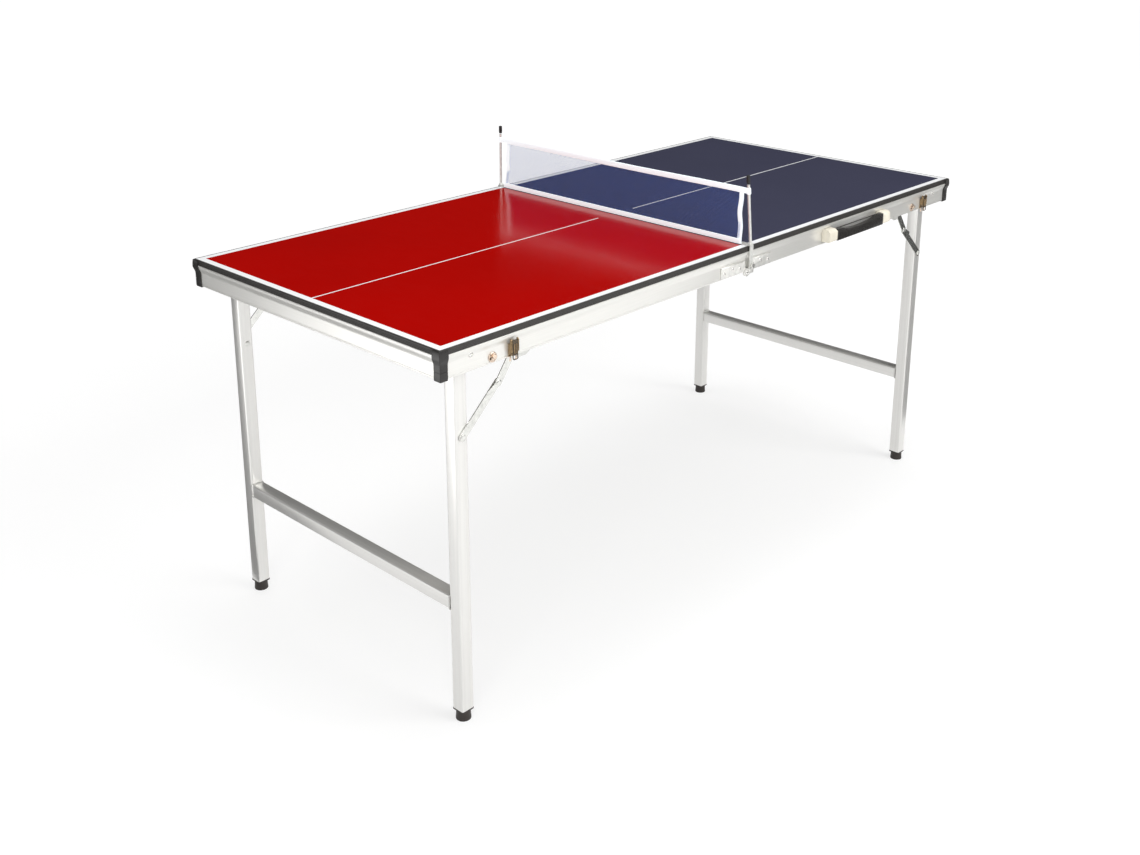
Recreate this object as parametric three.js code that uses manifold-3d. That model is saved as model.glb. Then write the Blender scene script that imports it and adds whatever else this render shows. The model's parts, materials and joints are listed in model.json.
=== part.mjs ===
// Folding table-tennis table: two hinged half tops, each a shallow case with a fold-away leg frame,
// and a clamp-on net. Millimetres, +Z up. X runs along the table, Y across it.
// The origin is on the floor, under the middle of the whole object's outline.

import * as THREE from "three";
import { mergeVertices } from "three/addons/utils/BufferGeometryUtils.js";
import Module from "manifold-3d";

const wasm = await Module();
wasm.setup();

// ---------------------------------------------------------------- driving dimensions

const GAP = 0.3; // air left between pieces that touch
const RUNNING = 0.35; // radial air round a pin that turns

const table = { length: 1500, width: 670, height: 675 };
const board = { thickness: 9 };
const seam = { half: 0.5, railWall: 3 };
const trim = { wall: 3, overlap: 0.5 }; // covers the board's edge and a little of the rail

const rail = {
  height: 50, // from the playing surface to the lower edge
  wall: 3,
  recess: 4, // how far the lower face stands back from the crest
  crestDrop: 13, // height of the crest below the playing surface
  flatDrop: 26, // where the lower flat face begins
  lip: 8.5, // width of the shelf and of the lower flange
  lipThickness: 2.5,
};

const cap = {
  size: 16,
  proud: 2, // beyond the rail's crest
  recess: 3, // lower part back from the cap's own crest
  foot: 1.5,
  crown: 0.8, // cap's rim below the playing surface
};

const leg = {
  tube: 25,
  wall: 1.5,
  inset: 64, // leg axis from the table's end
  sideInset: 41, // leg axis from the table's side
  foldAir: 1.2, // between the folded tube and the bracket's flange above it
  headroom: 8, // tube above the fold axis
};

const crossbar = { tube: 25, wall: 1.5, height: 215 };
const foot = {
  height: 20, base: 13, edge: 1, rim: 4, neck: 10.8, flange: 13, flangeHeight: 2.5, plug: 9, plugHeight: 12,
};

const stay = {
  upper: 87.5,
  lower: 102.5,
  width: 14,
  thickness: 2,
  bracketSetback: 126, // upper pivot from the leg's fold axis, along the table
  legDrop: 141, // lower pivot below the fold axis
  pin: 3,
  head: 5,
  headHeight: 1.8,
  lugLength: 24,
  lugWidth: 8,
  lugTurn: 25, // degrees from the upper link's own line
  legAir: 0.8, // between the tube and the lower link
  linkAir: 0.5, // between the two links
  headAir: 0.9, // between the middle rivet and the bracket
};

const bracket = {
  wall: 2,
  webHeight: 28,
  earSeam: 25, // ear's top corner, from the stay's pivot towards the seam
  earToe: 4, // its bottom corner on that side
  earHeel: 12, // its edge towards the leg
  earSlope: 41, // where the sloping edge begins
  earDrop: 54,
  flange: 14,
  flangeEnd: 108,
  overhang: 18, // web beyond the leg's fold axis
  stub: 4,
  stubDepth: 1.2, // stub inside the tube's wall
};

const hinge = {
  leafInner: 4, // start of the red leaf; the blue one starts past the eyes
  eyeAir: 2,
  leafRise: 1.5, // leaf above the rail's lower edge
  leafOuter: 76,
  leafHeight: 22,
  thickness: 2,
  eye: 8,
  pin: 2.5,
  pinHead: 4.5,
  pinHeadHeight: 1.5,
  arm: 20,
};

// Two places from the seam: each half has a latch at one and a catch at the other, so they pair up
// when the halves are folded together.
const closure = { inner: 601, outer: 642, rise: 2 };
const latch = {
  width: 16,
  height: 21,
  base: 2,
  cheek: 2,
  cheekHeight: 13, // where the cheeks stand on the base
  cheekRim: 1.3,
  cheekCrown: 5, // cheeks above the pin, in front of the rail's crest
  cheekSlope: 3,
  pin: 1.5,
  pinRise: 3, // above the base
  barrel: 2.8,
  barrelAir: 0.5,
};
const lever = { length: 20, thickness: 1.8, clearance: 0.8, loopDrop: 9, loopTail: 3, wire: 1.2 };
const catchPlate = {
  size: 17, thickness: 2, lug: 5, lugHeight: 3, lugWidth: 8, lugRise: 9.35, lip: 3, lipThickness: 1.6,
};

const handle = {
  x: 365,
  span: 172, // between the end blocks
  block: 27,
  reach: 16, // beyond the rail's crest
  top: 19, // below the playing surface
  bottom: 44,
  grip: 11,
  pivotDrop: 26,
  peg: 3,
  pegLength: 8,
  endAir: 1, // between the grip and each end block
  socketAir: 2,
  edge: 3, // chamfer of the blocks' lower edge
  slopeOut: 6, // chamfer of the blocks' upper edge
  slopeDown: 5,
  scoop: 8,
  scoopEnd: 18,
  scoopPull: 0.72, // how full the scoop's curve is
};

const net = {
  x: 8, // plane of the net, just past the seam
  bottom: 3.5,
  top: 108,
  thickness: 3,
  sideClearance: 19,
};

const post = {
  rod: 2.75,
  height: 115,
  base: 10,
  strip: 2.5,
  stripDrop: 44,
  shelf: 22,
  standOff: 1.1,
  nearLean: 5, // degrees inwards
  farLean: 0.5,
  cap: 3.6,
  capHeight: 16,
  crown: 2.2,
  crownInset: 1.2,
};

const clamp = { shaft: 2.5, drop: 37, knob: 5, knobHeight: 5, tip: 0.7 };

const SIDES = 20;
const ROOT = 1; // how far a fused piece reaches into its neighbour

// ---------------------------------------------------------------- derived places

const halfLength = table.length / 2;
const halfWidth = table.width / 2;
const top = table.height;
const underside = top - board.thickness;
const railBottom = top - rail.height;
const trimHeight = board.thickness + trim.overlap;
const legX = halfLength - leg.inset;
const legY = halfWidth - leg.sideInset;
const legFaceY = legY + leg.tube / 2;
const pivotDrop = board.thickness + GAP + bracket.wall + leg.foldAir + leg.tube / 2;
const pivotZ = top - pivotDrop;
const flatY = halfWidth - rail.recess; // lower flat face of the long rails
const clampReach = post.standOff + post.strip + GAP + clamp.knobHeight;
const centreShift = (handle.reach - clampReach) / 2; // puts the origin under the outline's middle

const stayBracketX = legX - stay.bracketSetback;
const lowerLinkY = legFaceY + stay.legAir;
const upperLinkY = lowerLinkY + stay.thickness + stay.linkAir;
const bracketY = upperLinkY + stay.thickness + stay.headHeight + stay.headAir;

// ---------------------------------------------------------------- materials

const paint = (color, roughness, metalness) =>
  new THREE.MeshStandardMaterial({ color, roughness, metalness });

const finish = {
  red: paint(0xb01808, 0.25, 0),
  blue: paint(0x33384f, 0.3, 0),
  aluminium: paint(0xd9dbd7, 0.35, 0.9),
  blackPlastic: paint(0x2f2d2b, 0.5, 0),
  steelTube: paint(0xc9ccc9, 0.35, 0.8),
  zinc: paint(0xb9bab6, 0.4, 0.9),
  brass: paint(0xa8905a, 0.35, 0.9),
  cream: paint(0xe6e0cf, 0.5, 0),
  rubber: paint(0x161616, 0.8, 0),
  netWhite: paint(0xeef0f2, 0.8, 0),
};

// ---------------------------------------------------------------- geometry helpers

const X = new THREE.Vector3(1, 0, 0);
const Y = new THREE.Vector3(0, 1, 0);
const Z = new THREE.Vector3(0, 0, 1);

function toManifold(geometry) {
  const bare = geometry.clone();
  bare.deleteAttribute("normal");
  bare.deleteAttribute("uv");
  const merged = mergeVertices(bare, 1e-4);
  const vertProperties = new Float32Array(merged.attributes.position.array);
  const triVerts = new Uint32Array(merged.index.array);
  return new wasm.Manifold(new wasm.Mesh({ numProp: 3, vertProperties, triVerts }));
}

function fromManifold(solid) {
  const mesh = solid.getMesh();
  const geometry = new THREE.BufferGeometry();
  geometry.setAttribute("position", new THREE.Float32BufferAttribute(mesh.vertProperties, 3));
  geometry.setIndex(new THREE.Uint32BufferAttribute(mesh.triVerts, 1));
  geometry.computeVertexNormals();
  return geometry;
}

const fuse = (first, ...rest) =>
  fromManifold(rest.reduce((sum, g) => sum.add(toManifold(g)), toManifold(first)));

const cut = (first, ...rest) =>
  fromManifold(rest.reduce((sum, g) => sum.subtract(toManifold(g)), toManifold(first)));

const common = (a, b) => fromManifold(toManifold(a).intersect(toManifold(b)));

// A block between two values on each axis, given in either order.
function block(x0, x1, y0, y1, z0, z1) {
  const geometry = new THREE.BoxGeometry(Math.abs(x1 - x0), Math.abs(y1 - y0), Math.abs(z1 - z0));
  return geometry.translate((x0 + x1) / 2, (y0 + y1) / 2, (z0 + z1) / 2);
}

// A round bar along an axis direction, from one point, with a length.
function bar(start, direction, length, radius, sides = SIDES) {
  const geometry = new THREE.CylinderGeometry(radius, radius, length, sides);
  geometry.translate(0, length / 2, 0);
  geometry.applyQuaternion(new THREE.Quaternion().setFromUnitVectors(Y, direction));
  return geometry.translate(start.x, start.y, start.z);
}

const at = (x, y, z) => new THREE.Vector3(x, y, z);

// An outline in (u, v) swept along u x v. u points out of the case, v is +Z.
function sweep(outline, outward, start, length) {
  const geometry = new THREE.ExtrudeGeometry(outline, { depth: length, bevelEnabled: false });
  const along = new THREE.Vector3().crossVectors(outward, Z);
  geometry.applyMatrix4(new THREE.Matrix4().makeBasis(outward, Z, along));
  return geometry.translate(start.x, start.y, start.z);
}

// An outline in (x, z) given thickness from y0 to y1.
function plate(outline, y0, y1) {
  const low = Math.min(y0, y1);
  const depth = Math.abs(y1 - y0);
  const geometry = new THREE.ExtrudeGeometry(outline, { depth, bevelEnabled: false, curveSegments: 6 });
  return geometry.rotateX(Math.PI / 2).translate(0, low + depth, 0);
}

function squareTube(size, wall) {
  const half = size / 2;
  const inner = half - wall;
  const outline = roundedSquare(half, 3);
  outline.holes.push(roundedSquare(inner, 1.5));
  return outline;
}

function roundedSquare(half, corner) {
  const shape = new THREE.Shape();
  const turns = [[1, 1], [-1, 1], [-1, -1], [1, -1]];
  turns.forEach(([sx, sy], i) => {
    const centre = [sx * (half - corner), sy * (half - corner)];
    const start = (i * Math.PI) / 2;
    shape.absarc(centre[0], centre[1], corner, start, start + Math.PI / 2, false);
  });
  shape.closePath();
  return shape;
}

// ---------------------------------------------------------------- rail section

// Distance of the rail's outer face from its crest, at a depth below the playing surface.
function railFace(drop) {
  if (drop <= rail.crestDrop) return 0;
  if (drop >= rail.flatDrop) return -rail.recess;
  const t = (drop - rail.crestDrop) / (rail.flatDrop - rail.crestDrop);
  return (-rail.recess * (1 - Math.cos(Math.PI * t))) / 2;
}

// Depths at which the curved face is sampled, from one depth to another.
function faceSteps(from, to, count = 7) {
  const drops = [from];
  for (let i = 0; i <= count; i += 1) {
    const drop = rail.crestDrop + ((rail.flatDrop - rail.crestDrop) * i) / count;
    if (drop > from && drop < to) drops.push(drop);
  }
  drops.push(to);
  return drops;
}

const shapeOf = (points) => new THREE.Shape(points.map(([u, v]) => new THREE.Vector2(u, v)));

// Open channel: shelf under the board, curved web, lower flange. u = 0 is the crest, v = 0 the top.
function railOutline() {
  const under = -board.thickness - GAP;
  const start = trimHeight + GAP;
  const face = faceSteps(start, rail.height).map((drop) => [railFace(drop), -drop]);
  const back = -rail.recess - rail.wall;
  const tip = back - rail.lip;
  return shapeOf([
    ...face,
    [tip, -rail.height],
    [tip, -rail.height + rail.lipThickness],
    [back, -rail.height + rail.lipThickness],
    [back, under - rail.lipThickness],
    [tip, under - rail.lipThickness],
    [tip, under],
    [-trim.wall - GAP, under],
    [-trim.wall - GAP, -start],
  ]);
}

// ---------------------------------------------------------------- assembly helpers

const group = new THREE.Group();
group.position.y = centreShift;

function node(parent, name, geometry, material) {
  const mesh = new THREE.Mesh(geometry, material);
  mesh.name = name;
  parent.add(mesh);
  return mesh;
}

const flanks = [
  { name: "near", y: -1, lean: post.nearLean },
  { name: "far", y: 1, lean: post.farLean },
];

const halves = [
  { name: "red", x: -1, top: finish.red, latchX: closure.inner, catchX: closure.outer },
  { name: "blue", x: 1, top: finish.blue, latchX: closure.outer, catchX: closure.inner },
];

// ---------------------------------------------------------------- case of one half

function boardPanel(s) {
  const inset = trim.wall + GAP;
  const reach = halfWidth - inset;
  return block(s * seam.half, s * (halfLength - inset), -reach, reach, underside, top);
}

function edgeTrim(s) {
  const low = top - trimHeight;
  const outer = block(s * seam.half, s * halfLength, -halfWidth, halfWidth, low, top);
  const inner = halfWidth - trim.wall;
  const core = block(0, s * (halfLength - trim.wall), -inner, inner, low - 1, top + 1);
  return cut(outer, core);
}

function longRail(s, side) {
  const capEnd = halfLength - cap.size - GAP;
  const length = capEnd - seam.half;
  const middleX = (s * (capEnd + seam.half)) / 2;
  const start = at(middleX - (side * length) / 2, side * halfWidth, top);
  return sweep(railOutline(), at(0, side, 0), start, length);
}

function endRail(s) {
  const reach = halfWidth - cap.size - GAP;
  return sweep(railOutline(), at(s, 0, 0), at(s * halfLength, s * reach, top), 2 * reach);
}

function seamRail(s) {
  const reach = halfWidth - rail.recess - rail.wall - rail.lip - GAP;
  const high = underside - GAP;
  const web = block(s * seam.half, s * (seam.half + seam.railWall), -reach, reach, railBottom, high);
  const tip = s * (seam.half + seam.railWall + rail.lip);
  const shelf = block(s * seam.half, tip, -reach, reach, high - rail.lipThickness, high);
  const flange = block(s * seam.half, tip, -reach, reach, railBottom, railBottom + rail.lipThickness);
  return fuse(web, shelf, flange);
}

// Distance of the cap's outer face from the rail's crest: rounded over at the rim, then the rail's curve.
function capFace(drop) {
  if (drop >= rail.crestDrop) return cap.proud + (railFace(drop) * cap.recess) / rail.recess;
  const rise = (rail.crestDrop - drop) / rail.crestDrop;
  return cap.proud * Math.sqrt(1 - rise * rise);
}

// Column on the corner with both outer faces shaped like the rail, cut out to wrap the trim's corner.
function cornerCap(s, side) {
  const bottom = rail.height + cap.foot;
  const shoulder = [0.15, 0.35, 0.6, 0.8].map((t) => cap.crown + t * (rail.crestDrop - cap.crown));
  const drops = [cap.crown, ...shoulder, ...faceSteps(rail.crestDrop, bottom)];
  const face = drops.map((drop) => [capFace(drop), -drop]);
  const outline = shapeOf([...face, [-cap.size, -bottom], [-cap.size, -cap.crown]]);
  const reach = cap.size + cap.proud;
  const cornerX = s * halfLength;
  const cornerY = side * halfWidth;
  const sideFace = sweep(outline, at(0, side, 0), at(cornerX - side * reach, cornerY, top), 2 * reach);
  const endFace = sweep(outline, at(s, 0, 0), at(cornerX, cornerY + s * reach, top), 2 * reach);
  const corner = block(
    s * (halfLength - 2 * cap.size), s * (halfLength + GAP),
    side * (halfWidth - 2 * cap.size), side * (halfWidth + GAP),
    top - trimHeight - GAP, top,
  );
  return cut(common(sideFace, endFace), corner);
}

// Angle plate under the board: carries the leg's fold stub and, on its ear, the stay's upper pin.
function foldBracket(s, side) {
  const high = underside - GAP;
  const near = side * bracketY;
  const back = side * (bracketY + bracket.wall);
  const seamEnd = s * (stayBracketX - bracket.earSeam);
  const earEnd = s * (stayBracketX + bracket.earHeel);
  const webEnd = s * (legX + bracket.overhang);
  const web = block(seamEnd, webEnd, near, back, high - bracket.webHeight, high);
  const ear = plate(shapeOf([
    [seamEnd, high], [seamEnd, high - bracket.earSlope],
    [s * (stayBracketX - bracket.earToe), high - bracket.earDrop],
    [earEnd, high - bracket.earDrop], [earEnd, high],
  ]), near, back);
  const flangeEnd = seamEnd + s * bracket.flangeEnd;
  const flangeTip = side * (bracketY - bracket.flange);
  const flange = block(seamEnd, flangeEnd, back, flangeTip, high - bracket.wall, high);
  const inwards = at(0, -side, 0);
  const root = near + side * ROOT;
  const stubLength = bracketY - legFaceY + leg.wall + bracket.stubDepth + ROOT;
  const stub = bar(at(s * legX, root, pivotZ), inwards, stubLength, bracket.stub);
  const pinLength = bracketY - upperLinkY + GAP + ROOT;
  const pin = bar(at(s * stayBracketX, root, pivotZ), inwards, pinLength, stay.pin);
  return fuse(web, ear, flange, stub, pin);
}

// ---------------------------------------------------------------- hinge at the seam

const leafFace = flatY + GAP;
const blueEyeFace = leafFace + hinge.thickness + GAP;
const pinHeadFace = blueEyeFace + hinge.thickness + GAP;
const blueLeafInner = hinge.eye + hinge.eyeAir;

function hingeLeafPlate(s, side, innerX) {
  const low = railBottom + hinge.leafRise;
  return block(
    s * innerX, s * hinge.leafOuter,
    side * leafFace, side * (leafFace + hinge.thickness),
    low, low + hinge.leafHeight,
  );
}

function hingeEyeHole(side) {
  const start = leafFace - ROOT;
  const length = pinHeadFace + ROOT - start;
  return bar(at(0, side * start, railBottom), at(0, side, 0), length, hinge.pin + RUNNING);
}

// The red leaf carries the inner eye in its own plane.
function redHingeLeaf(s, side) {
  const leaf = hingeLeafPlate(s, side, hinge.leafInner);
  const eye = bar(at(0, side * leafFace, railBottom), at(0, side, 0), hinge.thickness, hinge.eye);
  return cut(fuse(leaf, eye), hingeEyeHole(side));
}

// The blue leaf steps out over the red one, so its eye lies in the next plane.
function blueHingeLeaf(s, side) {
  const leaf = hingeLeafPlate(s, side, blueLeafInner);
  const eye = bar(at(0, side * blueEyeFace, railBottom), at(0, side, 0), hinge.thickness, hinge.eye);
  const arm = block(
    0, s * hinge.arm,
    side * blueEyeFace, side * (blueEyeFace + hinge.thickness),
    railBottom - hinge.eye / 2, railBottom + hinge.eye,
  );
  const step = block(
    s * blueLeafInner, s * hinge.arm,
    side * leafFace, side * (blueEyeFace + ROOT),
    railBottom + hinge.leafRise, railBottom + hinge.eye,
  );
  return cut(fuse(leaf, arm, eye, step), hingeEyeHole(side));
}

function hingePin(side) {
  const outward = at(0, side, 0);
  const shaft = bar(at(0, side * leafFace, railBottom), outward, pinHeadFace - leafFace + ROOT, hinge.pin);
  const head = bar(at(0, side * pinHeadFace, railBottom), outward, hinge.pinHeadHeight, hinge.pinHead);
  return fuse(shaft, head);
}

// ---------------------------------------------------------------- toggle latch and catch (near side)

const latchPlateY = flatY + GAP;
const latchAxisY = latchPlateY + latch.base + GAP + latch.barrel + latch.barrelAir;
const latchBottom = railBottom + closure.rise;
const latchTop = latchBottom + latch.height;
const latchAxisZ = latchTop + latch.pinRise;

function latchBase(cx) {
  const half = latch.width / 2;
  const face = -latchPlateY;
  const base = block(cx - half, cx + half, face, face - latch.base, latchBottom, latchTop);
  const crest = halfWidth + GAP;
  const outer = latchAxisY + latch.pin + latch.cheekRim;
  const crown = latchAxisZ + latch.cheekCrown;
  const slope = latch.cheekSlope / 2;
  const profile = shapeOf([
    [latchPlateY, latchTop - latch.cheekHeight], [outer, latchTop - latch.cheekHeight],
    [outer, crown - latch.cheekSlope], [outer - slope, crown], [crest, crown],
    [crest, latchTop], [latchPlateY, latchTop],
  ]);
  const cheeks = [cx + half, cx - half + latch.cheek].map((x) =>
    sweep(profile, at(0, -1, 0), at(x, 0, 0), latch.cheek));
  const pin = bar(at(cx - half, -latchAxisY, latchAxisZ), X, latch.width, latch.pin, 12);
  return fuse(base, ...cheeks, pin);
}

function latchLever(cx) {
  const half = latch.width / 2 - latch.cheek - lever.clearance;
  const front = -(latchAxisY + latch.barrel);
  const barrel = bar(at(cx - half, -latchAxisY, latchAxisZ), X, 2 * half, latch.barrel, 16);
  const low = latchAxisZ - lever.length;
  const flap = block(cx - half, cx + half, front, front + lever.thickness, low, latchAxisZ + ROOT);
  const loopY = front + lever.thickness / 2;
  const loopBottom = low - lever.loopDrop;
  const side = half - lever.wire;
  const rods = [-1, 1].map((e) =>
    bar(at(cx + e * side, loopY, loopBottom), Z, lever.loopDrop + lever.loopTail, lever.wire, 8));
  const across = bar(at(cx - half, loopY, loopBottom), X, 2 * half, lever.wire, 8);
  const boreStart = at(cx - half - ROOT, -latchAxisY, latchAxisZ);
  const bore = bar(boreStart, X, 2 * (half + ROOT), latch.pin + RUNNING, 16);
  return cut(fuse(barrel, flap, ...rods, across), bore);
}

function latchCatch(cx) {
  const half = catchPlate.size / 2;
  const face = -latchPlateY;
  const front = face - catchPlate.thickness;
  const base = block(cx - half, cx + half, face, front, latchBottom, latchBottom + catchPlate.size);
  const mid = latchBottom + catchPlate.lugRise;
  const w = catchPlate.lugWidth / 2;
  const lug = block(cx - w, cx + w, face, front - catchPlate.lug, mid, mid + catchPlate.lugHeight);
  const lip = block(
    cx - w, cx + w,
    front - catchPlate.lug, front - catchPlate.lug + catchPlate.lipThickness,
    mid, mid + catchPlate.lugHeight + catchPlate.lip,
  );
  return fuse(base, lug, lip);
}

// ---------------------------------------------------------------- carrying handle (blue half, near side)

const handleFront = halfWidth + handle.reach;
const handleAxisY = handleFront - handle.grip / 2;
const handleAxisZ = top - handle.pivotDrop;
const handleEnd = handle.span / 2;

function handleBlock(e) {
  const face = faceSteps(handle.top, handle.bottom).map((drop) => [railFace(drop) + GAP, -drop]);
  const outline = shapeOf([
    ...face,
    [handle.reach - handle.edge, -handle.bottom],
    [handle.reach, -handle.bottom + handle.edge],
    [handle.reach, -handle.top - handle.slopeDown],
    [handle.reach - handle.slopeOut, -handle.top],
  ]);
  const innerX = handle.x + e * handleEnd;
  const outerX = innerX + e * handle.block;
  const body = sweep(outline, at(0, -1, 0), at(Math.max(innerX, outerX), -halfWidth, top), handle.block);
  const socketDepth = handle.pegLength + handle.socketAir;
  const mouth = at(innerX - e * ROOT, -handleAxisY, handleAxisZ);
  const socket = bar(mouth, at(e, 0, 0), socketDepth + ROOT, handle.peg + RUNNING, 16);
  return cut(body, socket);
}

function handleGrip() {
  const half = handleEnd - handle.endAir;
  const low = top - handle.bottom;
  const high = handleAxisZ + handle.grip / 2;
  const flat = half - handle.scoopEnd;
  const outline = new THREE.Shape();
  outline.moveTo(-half, low);
  outline.lineTo(half, low);
  outline.lineTo(half, high);
  outline.lineTo(flat, high);
  const pull = flat * handle.scoopPull;
  outline.quadraticCurveTo(pull, high - handle.scoop, 0, high - handle.scoop);
  outline.quadraticCurveTo(-pull, high - handle.scoop, -flat, high);
  outline.lineTo(-half, high);
  outline.closePath();
  const body = plate(outline, -handleFront, -handleFront + handle.grip).translate(handle.x, 0, 0);
  const pegs = [-1, 1].map((e) => bar(
    at(handle.x + e * (half - ROOT), -handleAxisY, handleAxisZ), at(e, 0, 0),
    handle.pegLength + ROOT, handle.peg, 12,
  ));
  return fuse(body, ...pegs);
}

// ---------------------------------------------------------------- leg frame

function legTube(s, side) {
  const low = foot.height + GAP;
  const length = pivotZ + leg.headroom - low;
  const tube = new THREE.ExtrudeGeometry(squareTube(leg.tube, leg.wall), {
    depth: length, bevelEnabled: false, curveSegments: 3,
  }).translate(s * legX, side * legY, low);
  const face = side * legFaceY;
  const outward = at(0, side, 0);
  const boreStart = at(s * legX, face - side * (leg.wall + ROOT), pivotZ);
  const bore = bar(boreStart, outward, leg.wall + 2 * ROOT, bracket.stub + RUNNING);
  const pinLength = lowerLinkY + stay.thickness - legFaceY + ROOT;
  const pin = bar(at(s * legX, face - side * ROOT, pivotZ - stay.legDrop), outward, pinLength, stay.pin);
  return fuse(cut(tube, bore), pin);
}

function legCrossbar(s) {
  const reach = legY - leg.tube / 2 - GAP;
  const tube = new THREE.ExtrudeGeometry(squareTube(crossbar.tube, crossbar.wall), {
    depth: 2 * reach, bevelEnabled: false, curveSegments: 3,
  });
  return tube.rotateX(Math.PI / 2).translate(s * legX, reach, crossbar.height);
}

// Round flared foot under a thin square flange, with a plug that sits in the tube.
function rubberFoot() {
  const h = foot.height;
  const profile = [
    [0, 0], [foot.base - foot.edge, 0], [foot.base, foot.edge], [foot.base, foot.rim],
    [foot.neck, h - foot.flangeHeight], [foot.neck, h - GAP], [foot.plug, h - GAP],
    [foot.plug, h + foot.plugHeight], [0, h + foot.plugHeight],
  ];
  const lathe = new THREE.LatheGeometry(profile.map(([r, z]) => new THREE.Vector2(r, z)), 24);
  const half = foot.flange;
  return fuse(lathe.rotateX(Math.PI / 2), block(-half, half, -half, half, h - foot.flangeHeight, h));
}

// ---------------------------------------------------------------- folding stays

// Knee of the two links when the leg stands: on the seam side of the straight line.
function kneePlace() {
  const dx = stay.bracketSetback;
  const dz = -stay.legDrop;
  const span = Math.hypot(dx, dz);
  const along = (stay.upper ** 2 - stay.lower ** 2 + span ** 2) / (2 * span);
  const off = Math.sqrt(stay.upper ** 2 - along ** 2);
  const ux = dx / span;
  const uz = dz / span;
  return { x: stayBracketX + along * ux + off * uz, z: pivotZ + along * uz - off * ux };
}

// Flat link with round ends between two places in the XZ plane.
function linkOutline(a, b, width) {
  const turn = Math.atan2(b.z - a.z, b.x - a.x);
  const shape = new THREE.Shape();
  shape.absarc(b.x, b.z, width / 2, turn - Math.PI / 2, turn + Math.PI / 2, false);
  shape.absarc(a.x, a.z, width / 2, turn + Math.PI / 2, turn + (3 * Math.PI) / 2, false);
  shape.closePath();
  return shape;
}

function mirrored(place, s) {
  return { x: s * place.x, z: place.z };
}

function linkHole(place, innerY, outward) {
  const start = at(place.x, innerY, place.z).addScaledVector(outward, -ROOT);
  return bar(start, outward, stay.thickness + 2 * ROOT, stay.pin + RUNNING);
}

function stayUpper(s, side) {
  const y0 = side * upperLinkY;
  const y1 = side * (upperLinkY + stay.thickness);
  const start = mirrored({ x: stayBracketX, z: pivotZ }, s);
  const knee = mirrored(kneePlace(), s);
  const arm = plate(linkOutline(start, knee, stay.width), y0, y1);
  const heading = Math.atan2(knee.z - start.z, knee.x - start.x);
  const turned = heading + s * THREE.MathUtils.degToRad(stay.lugTurn);
  const end = {
    x: knee.x + stay.lugLength * Math.cos(turned),
    z: knee.z + stay.lugLength * Math.sin(turned),
  };
  const lug = plate(linkOutline(knee, end, stay.lugWidth), y0, y1);
  const outward = at(0, side, 0);
  const head = bar(at(knee.x, y1 - side * ROOT, knee.z), outward, stay.headHeight + ROOT, stay.head);
  const hole = linkHole(start, y0, outward);
  return cut(fuse(arm, lug, head), hole);
}

function stayLower(s, side) {
  const y0 = side * lowerLinkY;
  const y1 = side * (lowerLinkY + stay.thickness);
  const knee = mirrored(kneePlace(), s);
  const end = mirrored({ x: legX, z: pivotZ - stay.legDrop }, s);
  const arm = plate(linkOutline(knee, end, stay.width), y0, y1);
  return cut(arm, linkHole(end, y0, at(0, side, 0)));
}

// ---------------------------------------------------------------- net

function netPost(side, lean) {
  const inner = side * (halfWidth + post.standOff);
  const outer = side * (halfWidth + post.standOff + post.strip);
  const half = post.base / 2;
  const shelfZ = top + GAP;
  const shelfTop = shelfZ + post.strip;
  const strip = block(net.x - half, net.x + half, inner, outer, top - post.stripDrop, shelfTop);
  const shelf = block(net.x - half, net.x + half, outer, side * (halfWidth - post.shelf), shelfZ, shelfTop);
  const rod = bar(rodFoot(side), leanDirection(side, lean), post.height, post.rod, 16);
  const holeStart = at(net.x, inner - side * ROOT, top - clamp.drop);
  const screwHole = bar(holeStart, at(0, side, 0), post.strip + 2 * ROOT, clamp.shaft + RUNNING);
  return cut(fuse(strip, shelf, rod), screwHole);
}

const rodFoot = (side) => at(net.x, side * halfWidth, top + GAP + ROOT);

function leanDirection(side, lean) {
  const angle = THREE.MathUtils.degToRad(lean);
  return at(0, -side * Math.sin(angle), Math.cos(angle));
}

function netPostCap(side, lean) {
  const direction = leanDirection(side, lean);
  const start = rodFoot(side).addScaledVector(direction, post.height + GAP);
  const profile = [
    [0, 0], [post.cap, 0], [post.cap, post.capHeight - post.crown],
    [post.cap - post.crownInset, post.capHeight], [0, post.capHeight],
  ];
  const body = new THREE.LatheGeometry(profile.map(([r, z]) => new THREE.Vector2(r, z)), 16);
  body.applyQuaternion(new THREE.Quaternion().setFromUnitVectors(Y, direction));
  return body.translate(start.x, start.y, start.z);
}

function netPanel() {
  const reach = halfWidth - net.sideClearance;
  const half = net.thickness / 2;
  return block(net.x - half, net.x + half, -reach, reach, top + net.bottom, top + net.top);
}

function clampScrew(side) {
  const outward = at(0, side, 0);
  const tip = halfWidth + post.standOff - clamp.tip;
  const knobStart = halfWidth + post.standOff + post.strip + GAP;
  const place = (y) => at(net.x, side * y, top - clamp.drop);
  const shaft = bar(place(tip), outward, knobStart - tip + ROOT, clamp.shaft, 16);
  const knob = bar(place(knobStart), outward, clamp.knobHeight, clamp.knob, 12);
  return fuse(shaft, knob);
}

// ---------------------------------------------------------------- the assembly

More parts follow.
